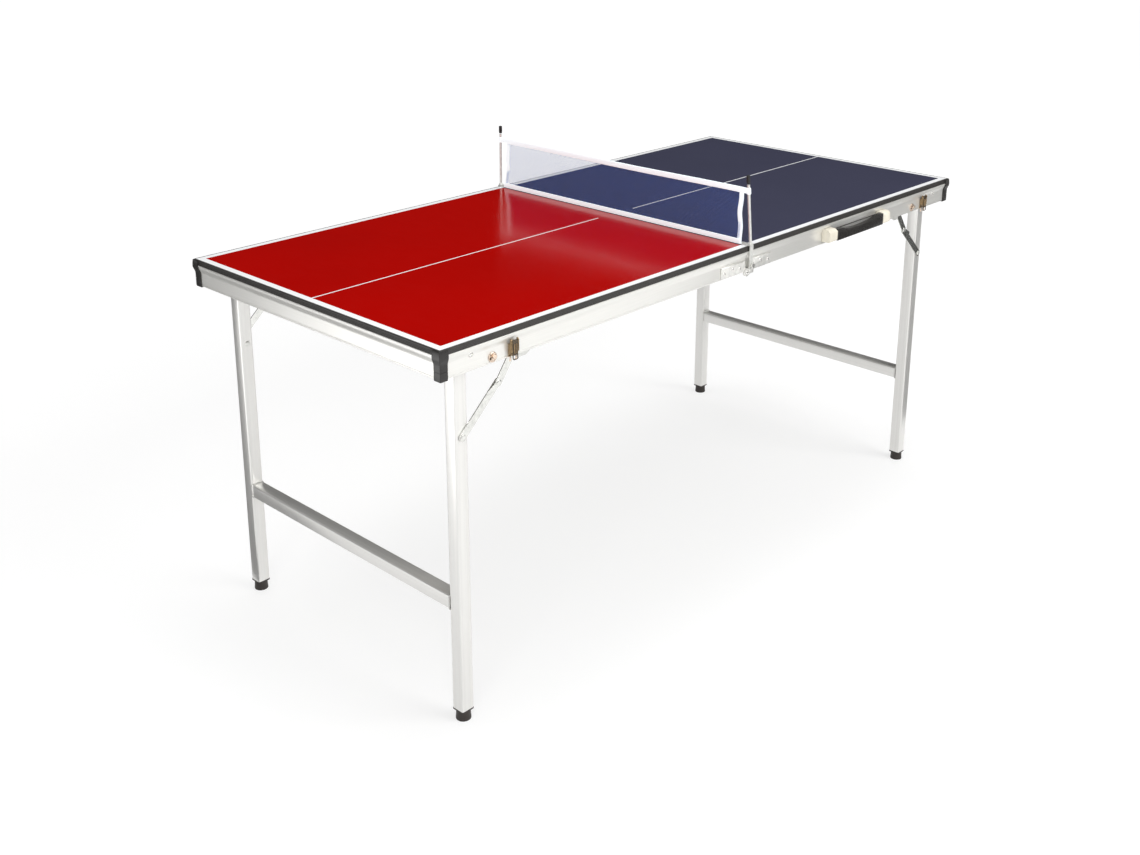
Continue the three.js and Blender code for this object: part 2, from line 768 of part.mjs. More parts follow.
for (const half of halves) {
  const s = half.x;
  const caseGroup = new THREE.Group();
  group.add(caseGroup);
  node(caseGroup, `${half.name}_board`, boardPanel(s), half.top);
  node(caseGroup, `${half.name}_edge_trim`, edgeTrim(s), finish.blackPlastic);
  node(caseGroup, `${half.name}_end_rail`, endRail(s), finish.aluminium);
  node(caseGroup, `${half.name}_seam_rail`, seamRail(s), finish.aluminium);
  node(caseGroup, `${half.name}_latch_base`, latchBase(s * half.latchX), finish.brass);
  node(caseGroup, `${half.name}_latch_lever`, latchLever(s * half.latchX), finish.brass);
  node(caseGroup, `${half.name}_latch_catch`, latchCatch(s * half.catchX), finish.brass);

  const legGroup = new THREE.Group();
  group.add(legGroup);
  node(legGroup, `${half.name}_leg_crossbar`, legCrossbar(s), finish.steelTube);

  for (const flank of flanks) {
    const side = flank.y;
    const tag = `${half.name}_${flank.name}`;
    node(caseGroup, `${tag}_rail`, longRail(s, side), finish.aluminium);
    node(caseGroup, `${tag}_corner_cap`, cornerCap(s, side), finish.blackPlastic);
    node(caseGroup, `${tag}_fold_bracket`, foldBracket(s, side), finish.zinc);
    const leaf = half.name === "red" ? redHingeLeaf(s, side) : blueHingeLeaf(s, side);
    node(caseGroup, `${tag}_hinge_leaf`, leaf, finish.zinc);

    node(legGroup, `${tag}_leg`, legTube(s, side), finish.steelTube);
    const rubber = node(legGroup, `${tag}_foot`, rubberFoot(), finish.rubber);
    rubber.position.set(s * legX, side * legY, 0);
    node(legGroup, `${tag}_stay_upper`, stayUpper(s, side), finish.zinc);
    node(legGroup, `${tag}_stay_lower`, stayLower(s, side), finish.zinc);
  }
}

for (const e of [-1, 1]) {
  const name = e < 0 ? "handle_inner_block" : "handle_outer_block";
  node(group, name, handleBlock(e), finish.cream);
}
node(group, "handle_grip", handleGrip(), finish.blackPlastic);

const netGroup = new THREE.Group();
group.add(netGroup);
node(netGroup, "net_panel", netPanel(), finish.netWhite);
for (const flank of flanks) {
  node(group, `${flank.name}_hinge_pin`, hingePin(flank.y), finish.zinc);
  node(netGroup, `net_${flank.name}_post`, netPost(flank.y, flank.lean), finish.steelTube);
  node(netGroup, `net_${flank.name}_post_cap`, netPostCap(flank.y, flank.lean), finish.rubber);
  node(netGroup, `net_${flank.name}_clamp_screw`, clampScrew(flank.y), finish.zinc);
}

export default group;
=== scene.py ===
"""Folding table-tennis table: the finished surfaces, built round the table's design frame.

Sizes here are millimetres, with Y measured from the middle of the table, unless a name says
otherwise. Meshes are turned into metres in the shared frame as they are finished.
"""

import json
import math

import bmesh
import bpy
from mathutils import Matrix, Vector


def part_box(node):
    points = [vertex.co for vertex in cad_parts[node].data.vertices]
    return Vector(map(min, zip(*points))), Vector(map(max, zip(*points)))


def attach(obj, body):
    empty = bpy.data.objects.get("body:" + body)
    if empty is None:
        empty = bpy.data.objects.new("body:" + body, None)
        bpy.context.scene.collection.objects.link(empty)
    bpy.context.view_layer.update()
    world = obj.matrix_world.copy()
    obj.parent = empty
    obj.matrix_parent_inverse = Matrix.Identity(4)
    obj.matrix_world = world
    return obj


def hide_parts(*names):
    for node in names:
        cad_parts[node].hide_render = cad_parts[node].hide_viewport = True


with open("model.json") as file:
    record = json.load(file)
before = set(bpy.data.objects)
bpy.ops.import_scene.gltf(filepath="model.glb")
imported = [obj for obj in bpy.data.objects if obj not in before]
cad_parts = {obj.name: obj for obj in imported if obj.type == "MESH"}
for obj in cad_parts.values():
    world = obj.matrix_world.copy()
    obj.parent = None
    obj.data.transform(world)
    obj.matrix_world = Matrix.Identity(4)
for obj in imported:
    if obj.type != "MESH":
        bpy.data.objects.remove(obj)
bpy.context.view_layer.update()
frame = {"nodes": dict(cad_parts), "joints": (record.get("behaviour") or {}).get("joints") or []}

bl_info = {
    "name": "Folding table-tennis table",
    "version": (1, 0, 0),
    "blender": (4, 5, 0),
    "location": "3D View > Sidebar > Table",
    "description": "Builds the boards, rails, legs, fittings and net of a folding table-tennis table",
    "category": "Object",
}

MM = 0.001
ORIGIN = Vector((0, 0, 0))
X = Vector((1, 0, 0))
Y = Vector((0, 1, 0))
Z = Vector((0, 0, 1))


# ------------------------------------------------------------------ places taken from the frame

def cad_box(node):
    """Lowest and highest corner of a CAD node in millimetres, Y from the frame's own middle."""
    low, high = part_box(node)
    return low / MM, high / MM


def joint_place(name):
    """Where a joint's axis lies, in millimetres, Y from the table's middle."""
    joint = next(j for j in frame["joints"] if j["name"] == name)
    return Vector(joint["pos_m"]) / MM - Y * CENTRE_Y


def span_y(node):
    """How far from the table's middle line a node starts and ends, on whichever side it lies."""
    return sorted(abs(corner.y - CENTRE_Y) for corner in cad_box(node))


BOARD_LOW, BOARD_HIGH = cad_box("red_board")
CENTRE_Y = (BOARD_LOW.y + BOARD_HIGH.y) / 2
TOP = BOARD_HIGH.z
UNDERSIDE = BOARD_LOW.z
HALF_LENGTH = cad_box("blue_edge_trim")[1].x
HALF_WIDTH = cad_box("blue_edge_trim")[1].y - CENTRE_Y
TRIM_HEIGHT = TOP - cad_box("red_edge_trim")[0].z
SEAM = -BOARD_HIGH.x
RAIL_BOTTOM = cad_box("red_near_rail")[0].z
RAIL_HEIGHT = TOP - RAIL_BOTTOM
FLAT_Y = cad_box("red_far_hinge_leaf")[0].y - CENTRE_Y  # outer face of the rail's lower flat
GAP = 0.3
TUBE_HALF = 12.5
TUBE_WALL = 1.5
BAR_LOW, BAR_HIGH = cad_box("red_leg_crossbar")
BAR_Z = (BAR_LOW.z + BAR_HIGH.z) / 2
BAR_REACH = BAR_HIGH.y - CENTRE_Y
LEG_X = joint_place("blue_legs_fold").x
LEG_Y = BAR_REACH + TUBE_HALF + GAP
PIVOT_Z = joint_place("blue_legs_fold").z
STAY_TOP = joint_place("blue_far_stay_upper_turn")
STAY_LOW = joint_place("blue_far_stay_lower_turn")
NET_BOX = cad_box("net_panel")
NET_X = (NET_BOX[0].x + NET_BOX[1].x) / 2
NET_REACH = NET_BOX[1].y - CENTRE_Y
NET_LOW = NET_BOX[0].z
NET_HIGH = NET_BOX[1].z

SIDES = (("near", -1), ("far", 1))
HALVES = (("red", -1), ("blue", 1))
CORNERS = tuple((half, s, flank, f) for half, s in HALVES for flank, f in SIDES)

# The rail's section, as drawn for its extrusion.
RAIL = {
    "wall": 3.0,
    "recess": 4.0,
    "crest_drop": 13.0,
    "flat_drop": 26.0,
    "flange": 8.5,
    "flange_thickness": 2.5,
    "lip": 0.9,
    "lip_height": 2.4,
    "corner": 1.2,
    "groove_drop": 46.0,
    "groove": 0.5,
}
CAP_SIZE = 16.0
CAP_PROUD = 2.0  # beyond the rail's crest
CAP_RECESS = 3.0  # lower part back from the cap's own crest
CAP_CROWN = 0.8  # rim below the playing surface
TRIM_CORNER = 4.0


def srgb(red, green, blue):
    """A linear colour with alpha from display values of 0 to 255."""
    def linear(value):
        value /= 255
        return value / 12.92 if value <= 0.04045 else ((value + 0.055) / 1.055) ** 2.4
    return (linear(red), linear(green), linear(blue), 1.0)


def shade(colour, share):
    """A colour multiplied by a share, with full alpha."""
    return tuple(min(1.0, c * share) for c in colour[:3]) + (1.0,)


def colour_property(name, description, default):
    return bpy.props.FloatVectorProperty(
        name=name, description=description, default=default, size=4, min=0, max=1, subtype="COLOR")


def length_property(name, description, default_mm):
    return bpy.props.FloatProperty(
        name=name, description=description, default=default_mm * MM, min=0,
        unit="LENGTH", subtype="DISTANCE")


# ------------------------------------------------------------------ settings

class BoardSettings(bpy.types.PropertyGroup):
    """The two playing surfaces and the strip round them."""

    red: colour_property("Red", "Laminate of the first half", srgb(170, 4, 0))
    blue: colour_property("Blue", "Laminate of the second half", srgb(66, 67, 86))
    line: colour_property("Lines", "Printed border and centre line", srgb(244, 245, 246))
    back: colour_property("Underside", "Bare board under the laminate", srgb(150, 147, 142))
    trim: colour_property("Edge strip", "Ridged strip round the edge", srgb(48, 46, 44))
    border: length_property("Border", "Width of the printed border", 16)
    centre_line: length_property("Centre line", "Width of the printed centre line", 3)
    red_stop: length_property("Red line's end", "Where the red half's line stops before the seam", 43)
    blue_stop: length_property("Blue line's end", "Where the blue half's line stops before the seam", 61)
    ridge: length_property("Ridge", "Height of the edge strip's ridges", 0.45)


class MetalSettings(bpy.types.PropertyGroup):
    """Rails, tubes, stays and small fittings."""

    rail: colour_property("Rails", "Anodised extrusions", srgb(229, 228, 224))
    tube: colour_property("Tubes", "Leg tubes and crossbars", srgb(226, 225, 222))
    zinc: colour_property("Stays", "Bright zinc plate", srgb(222, 222, 218))
    bronze: colour_property("Latches", "Yellow zinc plate", srgb(150, 128, 98))
    gold: colour_property("Catches", "Pale yellow zinc plate", srgb(226, 206, 188))
    screw: colour_property("Screws", "Dark wire and screw heads", srgb(84, 74, 62))
    rivet: length_property("Rivet", "Radius of the hinge rivets", 3.2)
    tube_corner: length_property("Tube corner", "Outer corner radius of the leg tubes", 3)


class PlasticSettings(bpy.types.PropertyGroup):
    """Caps, handle and feet."""

    black: colour_property("Black", "Moulded caps and grip", srgb(32, 30, 28))
    cream: colour_property("Cream", "The handle's end blocks", srgb(226, 220, 204))
    rubber: colour_property("Rubber", "The posts' caps", srgb(30, 30, 31))
    foot: colour_property("Feet", "Brown-black rubber feet", srgb(46, 40, 37))
    corner: length_property("Corner", "Radius of the corner caps' upright edge", 1.2)


class NetSettings(bpy.types.PropertyGroup):
    """The net and its tapes."""

    cord: colour_property("Cord", "Net cord", srgb(34, 78, 172))
    # The tape's cool tint is painted: it cancels the red light that the board bounces onto the white tapes.
    tape: colour_property("Tape", "Tapes sewn round the net", srgb(220, 232, 236))
    pitch: length_property("Mesh", "Distance from one cord to the next", 2.4)
    strand: length_property("Strand", "Thickness of a cord", 0.28)
    band: length_property("Top tape", "Height of the top tape", 11)
    hem: length_property("Bottom tape", "Height of the bottom tape", 10)
    wave: length_property("Slack", "How far the net sways out of its plane", 1.1)
    lean: length_property("Lean", "How far the bottom tape hangs towards the seam", 6.2)


class StageSettings(bpy.types.PropertyGroup):
    """Floor, light and camera."""

    floor: colour_property("Floor", "Pale studio floor", (0.36, 0.36, 0.36, 1.0))
    glow: bpy.props.FloatProperty(
        name="Glow", description="Light of the lit floor itself", default=0.67, min=0)
    lens: bpy.props.FloatProperty(
        name="Lens", description="Camera lens in millimetres", default=41.91, min=1)
    azimuth: bpy.props.FloatProperty(
        name="Azimuth", description="Turn of the camera round the table",
        default=math.radians(-46.11), subtype="ANGLE", unit="ROTATION")
    elevation: bpy.props.FloatProperty(
        name="Elevation", description="Tilt of the camera above the level",
        default=math.radians(16.85), subtype="ANGLE", unit="ROTATION")
    sky: bpy.props.FloatProperty(
        name="Sky", description="Strength of the light from above", default=0.8, min=0)


class TableSettings(bpy.types.PropertyGroup):
    """Everything that a user may change about the table."""

    board: bpy.props.PointerProperty(name="Boards", type=BoardSettings)
    metal: bpy.props.PointerProperty(name="Metal", type=MetalSettings)
    plastic: bpy.props.PointerProperty(name="Plastic", type=PlasticSettings)
    net: bpy.props.PointerProperty(name="Net", type=NetSettings)
    stage: bpy.props.PointerProperty(name="Stage", type=StageSettings)


# ------------------------------------------------------------------ node trees

class Wiring:
    """Adds nodes to a tree. An input's value may be a plain value or another node's output."""

    def __init__(self, tree):
        self.tree = tree

    def add(self, kind, inputs=None, **settings):
        node = self.tree.nodes.new(kind)
        for key, value in settings.items():
            setattr(node, key, value)
        for key, value in (inputs or {}).items():
            if isinstance(value, bpy.types.NodeSocket):
                self.tree.links.new(value, node.inputs[key])
            else:
                node.inputs[key].default_value = value
        return node

    def math(self, operation, *values):
        node = self.add("ShaderNodeMath", dict(enumerate(values)), operation=operation)
        return node.outputs[0]

    def noise(self, scale, vector, detail=3.0, rough=0.5):
        node = self.add(
            "ShaderNodeTexNoise",
            {"Vector": vector, "Scale": scale, "Detail": detail, "Roughness": rough})
        return node.outputs["Fac"]

    def spread(self, value, low, high, start=0.3, stop=0.7):
        """Maps a 0 to 1 pattern on to a range."""
        node = self.add(
            "ShaderNodeMapRange",
            {"Value": value, "From Min": start, "From Max": stop, "To Min": low, "To Max": high})
        return node.outputs["Result"]

    def mix(self, factor, first, second):
        """Two colours mixed by a factor; the numbers are the node's sockets for a colour mix."""
        node = self.add("ShaderNodeMix", {0: factor, 6: first, 7: second}, data_type="RGBA")
        return node.outputs[2]


def open_sockets(tree, sockets):
    """Gives a geometry tree its inputs, by name and kind, and one geometry output."""
    for name, kind in sockets.items():
        tree.interface.new_socket(name, in_out="INPUT", socket_type=f"NodeSocket{kind}")
    tree.interface.new_socket("Geometry", in_out="OUTPUT", socket_type="NodeSocketGeometry")


class Finish:
    """A material whose shader takes patterns from the piece's own coordinates, in metres."""

    def __init__(self, name, **constants):
        self.material = bpy.data.materials.new(name)
        self.material.use_nodes = True
        tree = self.material.node_tree
        tree.nodes.clear()
        self.wiring = Wiring(tree)
        output = self.wiring.add("ShaderNodeOutputMaterial")
        self.shader = self.wiring.add("ShaderNodeBsdfPrincipled")
        tree.links.new(self.shader.outputs[0], output.inputs["Surface"])
        self.place = self.wiring.add("ShaderNodeTexCoord").outputs["Object"]
        for key, value in constants.items():
            self.shader.inputs[key.replace("_", " ")].default_value = value

    def stretched(self, scale):
        return self.wiring.add("ShaderNodeMapping", {"Vector": self.place, "Scale": scale}).outputs[0]

    def link(self, key, output):
        self.wiring.tree.links.new(output, self.shader.inputs[key])

    def rough(self, pattern, low, high, *span):
        self.link("Roughness", self.wiring.spread(pattern, low, high, *span))

    def bump(self, height, strength, distance_mm):
        node = self.wiring.add(
            "ShaderNodeBump", {"Height": height, "Strength": strength, "Distance": distance_mm * MM})
        self.link("Normal", node.outputs[0])

    def mottled(self, colour, depth, scale, vector=None):
        """Base colour that wanders by a share of its brightness."""
        pattern = self.wiring.spread(self.wiring.noise(scale, vector or self.place), 0.0, 1.0)
        self.link("Base Color", self.wiring.mix(pattern, shade(colour, 1 - depth), shade(colour, 1 + depth)))


def laminate(name, colour, board, half_sign, line_stop):
    """Glossy printed board: colour, border on three sides, centre line, bare underside."""
    finish = Finish(name, Specular_IOR_Level=0.2)
    wiring = finish.wiring
    axes = wiring.add("ShaderNodeSeparateXYZ", {"Vector": finish.place})
    along = wiring.math("MULTIPLY", axes.outputs["X"], half_sign)
    across = wiring.math("ABSOLUTE", wiring.math("SUBTRACT", axes.outputs["Y"], CENTRE_Y * MM))
    side = wiring.math("GREATER_THAN", across, HALF_WIDTH * MM - board.border)
    end = wiring.math("GREATER_THAN", along, HALF_LENGTH * MM - board.border)
    centre = wiring.math(
        "MULTIPLY", wiring.math("LESS_THAN", across, board.centre_line / 2),
        wiring.math("GREATER_THAN", along, line_stop))
    line = wiring.math("MAXIMUM", wiring.math("MAXIMUM", side, end), centre)
    cloud = wiring.spread(wiring.noise(3.0, finish.place), 0.0, 1.0)
    printed = wiring.mix(line, wiring.mix(cloud, shade(colour, 0.92), colour), board.line)
    fibre = wiring.noise(900.0, finish.place, 6.0, 0.7)
    bare = wiring.mix(fibre, shade(board.back, 0.72), board.back)
    face = wiring.math("GREATER_THAN", axes.outputs["Z"], (TOP - 0.6) * MM)
    finish.link("Base Color", wiring.mix(face, bare, printed))
    scuff = wiring.noise(60.0, finish.stretched((1.0, 0.35, 1.0)), 8.0, 0.65)
    gloss = wiring.spread(scuff, 0.15, 0.24, 0.35, 0.75)
    rough = wiring.math("ADD", wiring.math("MULTIPLY", face, wiring.math("SUBTRACT", gloss, 0.8)), 0.8)
    finish.link("Roughness", rough)
    finish.bump(wiring.noise(420.0, finish.place, 2.0), 0.04, 0.1)
    return finish.material


def anodised(name, colour, along):
    """Extruded aluminium with die lines that run along the piece."""
    finish = Finish(name, Metallic=0.55, Specular_IOR_Level=0.5)
    squeeze = (0.02, 1.0, 1.0) if along == "X" else (1.0, 0.02, 1.0)
    lines = finish.wiring.noise(1400.0, finish.stretched(squeeze), 4.0, 0.6)
    finish.mottled(colour, 0.02, 700.0, finish.stretched(squeeze))
    finish.rough(lines, 0.288, 0.296)
    finish.bump(lines, 0.03, 0.05)
    return finish.material


def satin_tube(name, colour, squeeze):
    """Drawn tube under a thin clear coat: a fine skin, and faint bands along its length."""
    finish = Finish(name, Metallic=0.6, Specular_IOR_Level=0.5, Coat_Weight=0.2, Coat_Roughness=0.2)
    finish.mottled(colour, 0.035, 230.0, finish.stretched(squeeze))
    peel = finish.wiring.noise(650.0, finish.place, 2.0)
    finish.rough(peel, 0.274, 0.280)
    finish.bump(peel, 0.03, 0.06)
    return finish.material


def plated(name, colour, metallic, roughness, streak=260.0):
    """Plated sheet or wire: cloudy, with rolling marks."""
    finish = Finish(name, Metallic=metallic)
    finish.mottled(colour, 0.10, 130.0)
    marks = finish.wiring.noise(streak, finish.stretched((1.0, 1.0, 0.25)), 6.0, 0.65)
    finish.rough(marks, roughness - 0.03, roughness + 0.06)
    finish.bump(marks, 0.08, 0.06)
    return finish.material


def moulded(name, colour, roughness, grain=1700.0, strength=0.14, specular=0.45):
    """Moulded plastic or rubber with a spark-eroded grain and faint flow marks."""
    finish = Finish(name, Specular_IOR_Level=specular)
    finish.mottled(colour, 0.10, 45.0)
    skin = finish.wiring.noise(grain, finish.place, 3.0)
    finish.rough(skin, roughness - 0.08, roughness + 0.10)
    finish.bump(skin, strength, 0.08)
    return finish.material


def woven(name, colour, thread_mm, painted_glow=0.0):
    """Woven tape: threads along and across, with a soft sheen and a painted bluish-white glow that brightens
    the cloth.
    """
    # The emission is painted light: a bluish-white glow that whitens the tape against the red light bounced
    # from the board.
    finish = Finish(
        name, Specular_IOR_Level=0.2, Sheen_Weight=0.3, Sheen_Roughness=0.5,
        Emission_Strength=painted_glow, Emission_Color=(0.97, 0.98, 1.0, 1.0))
    wiring = finish.wiring
    scale = 2 * math.pi / (20 * thread_mm * MM)
    bands = [
        wiring.add(
            "ShaderNodeTexWave", {"Vector": finish.place, "Scale": scale, "Distortion": 0.6},
            bands_direction=axis).outputs["Fac"]
        for axis in ("Y", "Z")
    ]
    weave = wiring.math("MULTIPLY", *bands)
    finish.link("Base Color", wiring.mix(weave, shade(colour, 0.93), colour))
    finish.rough(weave, 0.9, 0.7, 0.0, 1.0)
    finish.bump(weave, 0.35, 0.15)
    return finish.material


# ------------------------------------------------------------------ shapes

class Shape:
    """A mesh in the making, in millimetres, with Y measured from the table's middle."""

    def __init__(self):
        self.bm = bmesh.new()

    def loft(self, rings, closed=False):
        """Skins a row of outlines that have equal point counts; a closed one joins up with its start."""
        rows = [[self.bm.verts.new(point) for point in ring] for ring in rings]
        pairs = list(zip(rows, rows[1:])) + ([(rows[-1], rows[0])] if closed else [])
        for low, high in pairs:
            for i in range(len(low)):
                j = (i + 1) % len(low)
                self.bm.faces.new((low[i], low[j], high[j], high[i]))
        if not closed:
            self.bm.faces.new(rows[0][::-1])
            self.bm.faces.new(rows[-1])
        return self

    def extrude(self, outline, origin, u_axis, v_axis, along):
        """An outline in two axes drawn out along a vector."""
        start = [origin + u_axis * u + v_axis * v for u, v in outline]
        return self.loft([start, [point + along for point in start]])

    def lathe(self, profile, origin, axis, segments=32, lobes=0, depth=0.0):
        """Turns (radius, height) points round an axis; the profile starts and ends on the axis.

        Lobes scallop every ring but those on the axis, as on a grip or knob."""
        side = axis.orthogonal().normalized()
        other = axis.cross(side)
        rows = []
        for radius, height in profile:
            centre = origin + axis * height
            if radius <= 0:
                rows.append([self.bm.verts.new(centre)])
                continue
            row = []
            for i in range(segments):
                angle = 2 * math.pi * i / segments
                reach = radius - depth * (0.5 - 0.5 * math.cos(lobes * angle))
                row.append(self.bm.verts.new(
                    centre + side * reach * math.cos(angle) + other * reach * math.sin(angle)))
            rows.append(row)
        for low, high in zip(rows, rows[1:]):
            for i in range(segments):
                j = (i + 1) % segments
                corners = [low[i % len(low)], low[j % len(low)], high[j % len(high)], high[i % len(high)]]
                self.bm.faces.new(list(dict.fromkeys(corners)))
        return self

    def wire(self, points, radius, sides=10):
        """A round wire along a chosen route."""
        rings = []
        normal = None
        for before, point, after in zip([points[0], *points], points, [*points[1:], points[-1]]):
            ahead = (after - before).normalized()
            normal = ahead.orthogonal() if normal is None else normal - ahead * normal.dot(ahead)
            normal.normalize()
            other = ahead.cross(normal)
            rings.append([
                point + (normal * math.cos(a) + other * math.sin(a)) * radius
                for a in (2 * math.pi * k / sides for k in range(sides))
            ])
        return self.loft(rings)

    def rivet(self, place, axis, radius, height):
        """Domed head that stands on a surface, with its skirt sunk a little."""
        steps = 6
        dome = [
            (radius * math.cos(a), height * (0.25 + 0.75 * math.sin(a)))
            for a in (math.pi / 2 * i / steps for i in range(steps))
        ]
        return self.lathe([(0, -0.4), (radius, -0.4), *dome, (0, height)], place, axis, 24)


def arc(centre, radius, start, stop, steps):
    """Points of an arc, with angles in degrees."""
    return [
        (centre[0] + radius * math.cos(a), centre[1] + radius * math.sin(a))
        for a in (math.radians(start + (stop - start) * i / steps) for i in range(steps + 1))
    ]


def rounded_square(half, corner, steps=5):
    """Outline of a square with round corners, about its centre."""
    offset = half - corner
    corners = ((1, 1, 0), (-1, 1, 90), (-1, -1, 180), (1, -1, 270))
    return [
        point for sx, sy, turn in corners
        for point in arc((sx * offset, sy * offset), corner, turn, turn + 90, steps)
    ]


SHARP_ANGLE = 32  # degrees; an edge that turns more stays sharp


def smooth_all(mesh, angle):
    mesh.polygons.foreach_set("use_smooth", [True] * len(mesh.polygons))
    if angle:
        mesh.set_sharp_from_angle(angle=math.radians(angle))


def bevel(obj, width_mm, segments):
    """Rounds a piece's sharp edges, as tools, moulds and tumbling do."""
    rounding = obj.modifiers.new("edge_rounding", "BEVEL")
    rounding.width = width_mm * MM
    rounding.segments = segments
    rounding.limit_method = "ANGLE"
    rounding.angle_limit = math.radians(35)
    rounding.harden_normals = True


def add_object(name, data):
    obj = bpy.data.objects.new(name, data)
    bpy.context.scene.collection.objects.link(obj)
    return obj


def finished_mesh(bm, name, transform):
    """Turns the faces of a mesh in the making outwards, and makes it a mesh in metres."""
    bmesh.ops.recalc_face_normals(bm, faces=bm.faces)
    bm.transform(transform)
    mesh = bpy.data.meshes.new(name)
    bm.to_mesh(mesh)
    bm.free()
    return mesh


def register_piece(obj, body, stands_for):
    """Hides the nodes that a piece stands for and hangs the piece on the body that it rides on."""
    if stands_for:
        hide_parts(*stands_for)
    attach(obj, body)
    return obj


def make_piece(shape, name, material, body, stands_for=(), rounding=0.0, segments=2):
    """Turns a shape into a finished piece of one material that rides on a body."""
    mesh = finished_mesh(shape.bm, name, Matrix.Scale(MM, 4) @ Matrix.Translation(Y * CENTRE_Y))
    mesh.materials.append(material)
    obj = add_object(name, mesh)
    smooth_all(mesh, 0 if rounding else SHARP_ANGLE)
    if rounding:
        bevel(obj, rounding, segments)
    return register_piece(obj, body, stands_for)


def refine(node, material, body, rounding, segments=2, extra=None):
    """A copy of a CAD node with merged facets and rounded edges; extra adds detail to it."""
    shape = Shape()
    shape.bm.from_mesh(frame["nodes"][node].data)
    shape.bm.transform(Matrix.Translation(-Y * CENTRE_Y) @ Matrix.Scale(1 / MM, 4))
    bmesh.ops.remove_doubles(shape.bm, verts=shape.bm.verts, dist=0.01)
    bmesh.ops.dissolve_limit(
        shape.bm, angle_limit=math.radians(1), verts=shape.bm.verts, edges=shape.bm.edges)
    if extra:
        extra(shape)
    return make_piece(shape, f"{node}_finished", material, body, (node,), rounding, segments)


# ------------------------------------------------------------------ repeated small parts

def repeat_tree():
    """Sets a template on each point, turned to the point's outward direction and spun about it."""
    tree = bpy.data.node_groups.new("repeat_on_points", "GeometryNodeTree")
    open_sockets(tree, {"Points": "Geometry", "Template": "Object", "Finish": "Material"})
    add = Wiring(tree).add
    inputs = add("NodeGroupInput").outputs
    outward = add(
        "GeometryNodeInputNamedAttribute", {"Name": "outward"}, data_type="FLOAT_VECTOR").outputs[0]
    spin = add("GeometryNodeInputNamedAttribute", {"Name": "spin"}, data_type="FLOAT").outputs[0]
    facing = add("FunctionNodeAlignRotationToVector", {"Vector": outward}, axis="Z").outputs[0]
    about = add("FunctionNodeAxisAngleToRotation", {"Axis": (0, 0, 1), "Angle": spin}).outputs[0]
    turned = add(
        "FunctionNodeRotateRotation", {"Rotation": facing, "Rotate By": about}, rotation_space="LOCAL")
    template = add("GeometryNodeObjectInfo", {"Object": inputs["Template"]}).outputs["Geometry"]
    copies = add(
        "GeometryNodeInstanceOnPoints",
        {"Points": inputs["Points"], "Instance": template, "Rotation": turned.outputs[0]}).outputs[0]
    real = add("GeometryNodeRealizeInstances", {"Geometry": copies}).outputs[0]
    done = add("GeometryNodeSetMaterial", {"Geometry": real, "Material": inputs["Finish"]}).outputs[0]
    add("NodeGroupOutput", {"Geometry": done})
    return tree


def freeze(obj):
    """Keeps what an object's modifiers make of it as its own plain mesh."""
    bpy.context.view_layer.update()
    evaluated = obj.evaluated_get(bpy.context.evaluated_depsgraph_get())
    mesh = bpy.data.meshes.new_from_object(evaluated)
    obj.modifiers.clear()
    obj.data = mesh
    return obj


def grow(obj, tree, values):
    """Runs a node tree on an object with its inputs set, and keeps the result as a plain mesh."""
    modifier = obj.modifiers.new(tree.name, "NODES")
    modifier.node_group = tree
    for item in tree.interface.items_tree:
        if item.in_out == "INPUT" and item.name in values:
            modifier[item.identifier] = values[item.name]
    return freeze(obj)


def repeat(name, template, spots, material, body):
    """One mesh of the template at each spot, a (place, outward) pair in table millimetres."""
    step_turn = 0.9  # radians from one copy to the next
    mesh = bpy.data.meshes.new(name)
    mesh.from_pydata([(place + Y * CENTRE_Y) * MM for place, _ in spots], [], [])
    outward = mesh.attributes.new("outward", "FLOAT_VECTOR", "POINT")
    outward.data.foreach_set("vector", [value for _, axis in spots for value in axis])
    spin = mesh.attributes.new("spin", "FLOAT", "POINT")
    spin.data.foreach_set("value", [step_turn * i for i in range(len(spots))])
    obj = add_object(name, mesh)
    tree = bpy.data.node_groups.get("repeat_on_points") or repeat_tree()
    grow(obj, tree, {"Template": template, "Finish": material})
    smooth_all(obj.data, SHARP_ANGLE)
    return register_piece(obj, body, ())


def template_object(name, shape):
    """A small part at the origin, facing +Z, in metres; it is removed when its copies are made."""
    return add_object(name, finished_mesh(shape.bm, name, Matrix.Scale(MM, 4)))


def discard(obj):
    """Removes a template and its mesh."""
    mesh = obj.data
    bpy.data.objects.remove(obj)
    bpy.data.meshes.remove(mesh)


def screw_template(radius, height):
    """Domed screw head with a sunken cross."""
    screw = template_object("screw", Shape().rivet(ORIGIN, Z, radius, height))
    arm = radius * 0.66
    slot = radius * 0.2
    cross = [(arm, slot), (slot, slot), (slot, arm), (-slot, arm), (-slot, slot), (-arm, slot)]
    outline = cross + [(-u, -v) for u, v in cross]
    recess = template_object("recess", Shape().loft(
        [[(u, v, level) for u, v in outline] for level in (height * 0.35, height * 2)]))
    cutting = screw.modifiers.new("recess", "BOOLEAN")
    cutting.operation = "DIFFERENCE"
    cutting.object = recess
    cutting.solver = "EXACT"
    freeze(screw)
    discard(recess)
    return screw


# ------------------------------------------------------------------ boards and their edge

def make_boards(settings):
    board = settings.board
    for half, s in HALVES:
        colour, stop = (board.red, board.red_stop) if half == "red" else (board.blue, board.blue_stop)
        materials = frame["nodes"][f"{half}_board"].data.materials
        materials.clear()
        materials.append(laminate(f"{half}_laminate", colour, board, s, stop))


def trim_outline(ridge):
    """Section of the edge strip: a rounded top edge and a ridged face. u = 0 is the outside."""
    wall = 3.0
    rounding = 0.9
    ridges = 3
    start = 2.0
    pitch = (TRIM_HEIGHT - start - 0.8) / ridges
    face = arc((-rounding, -rounding), rounding, 90, 0, 4)
    for i in range(ridges):
        drop = start + pitch * i
        face += [(0, -drop), (-ridge, -drop - pitch / 4), (-ridge, -drop - pitch * 0.75), (0, -drop - pitch)]
    return [*face, (0, -TRIM_HEIGHT), (-wall, -TRIM_HEIGHT), (-wall, 0)]


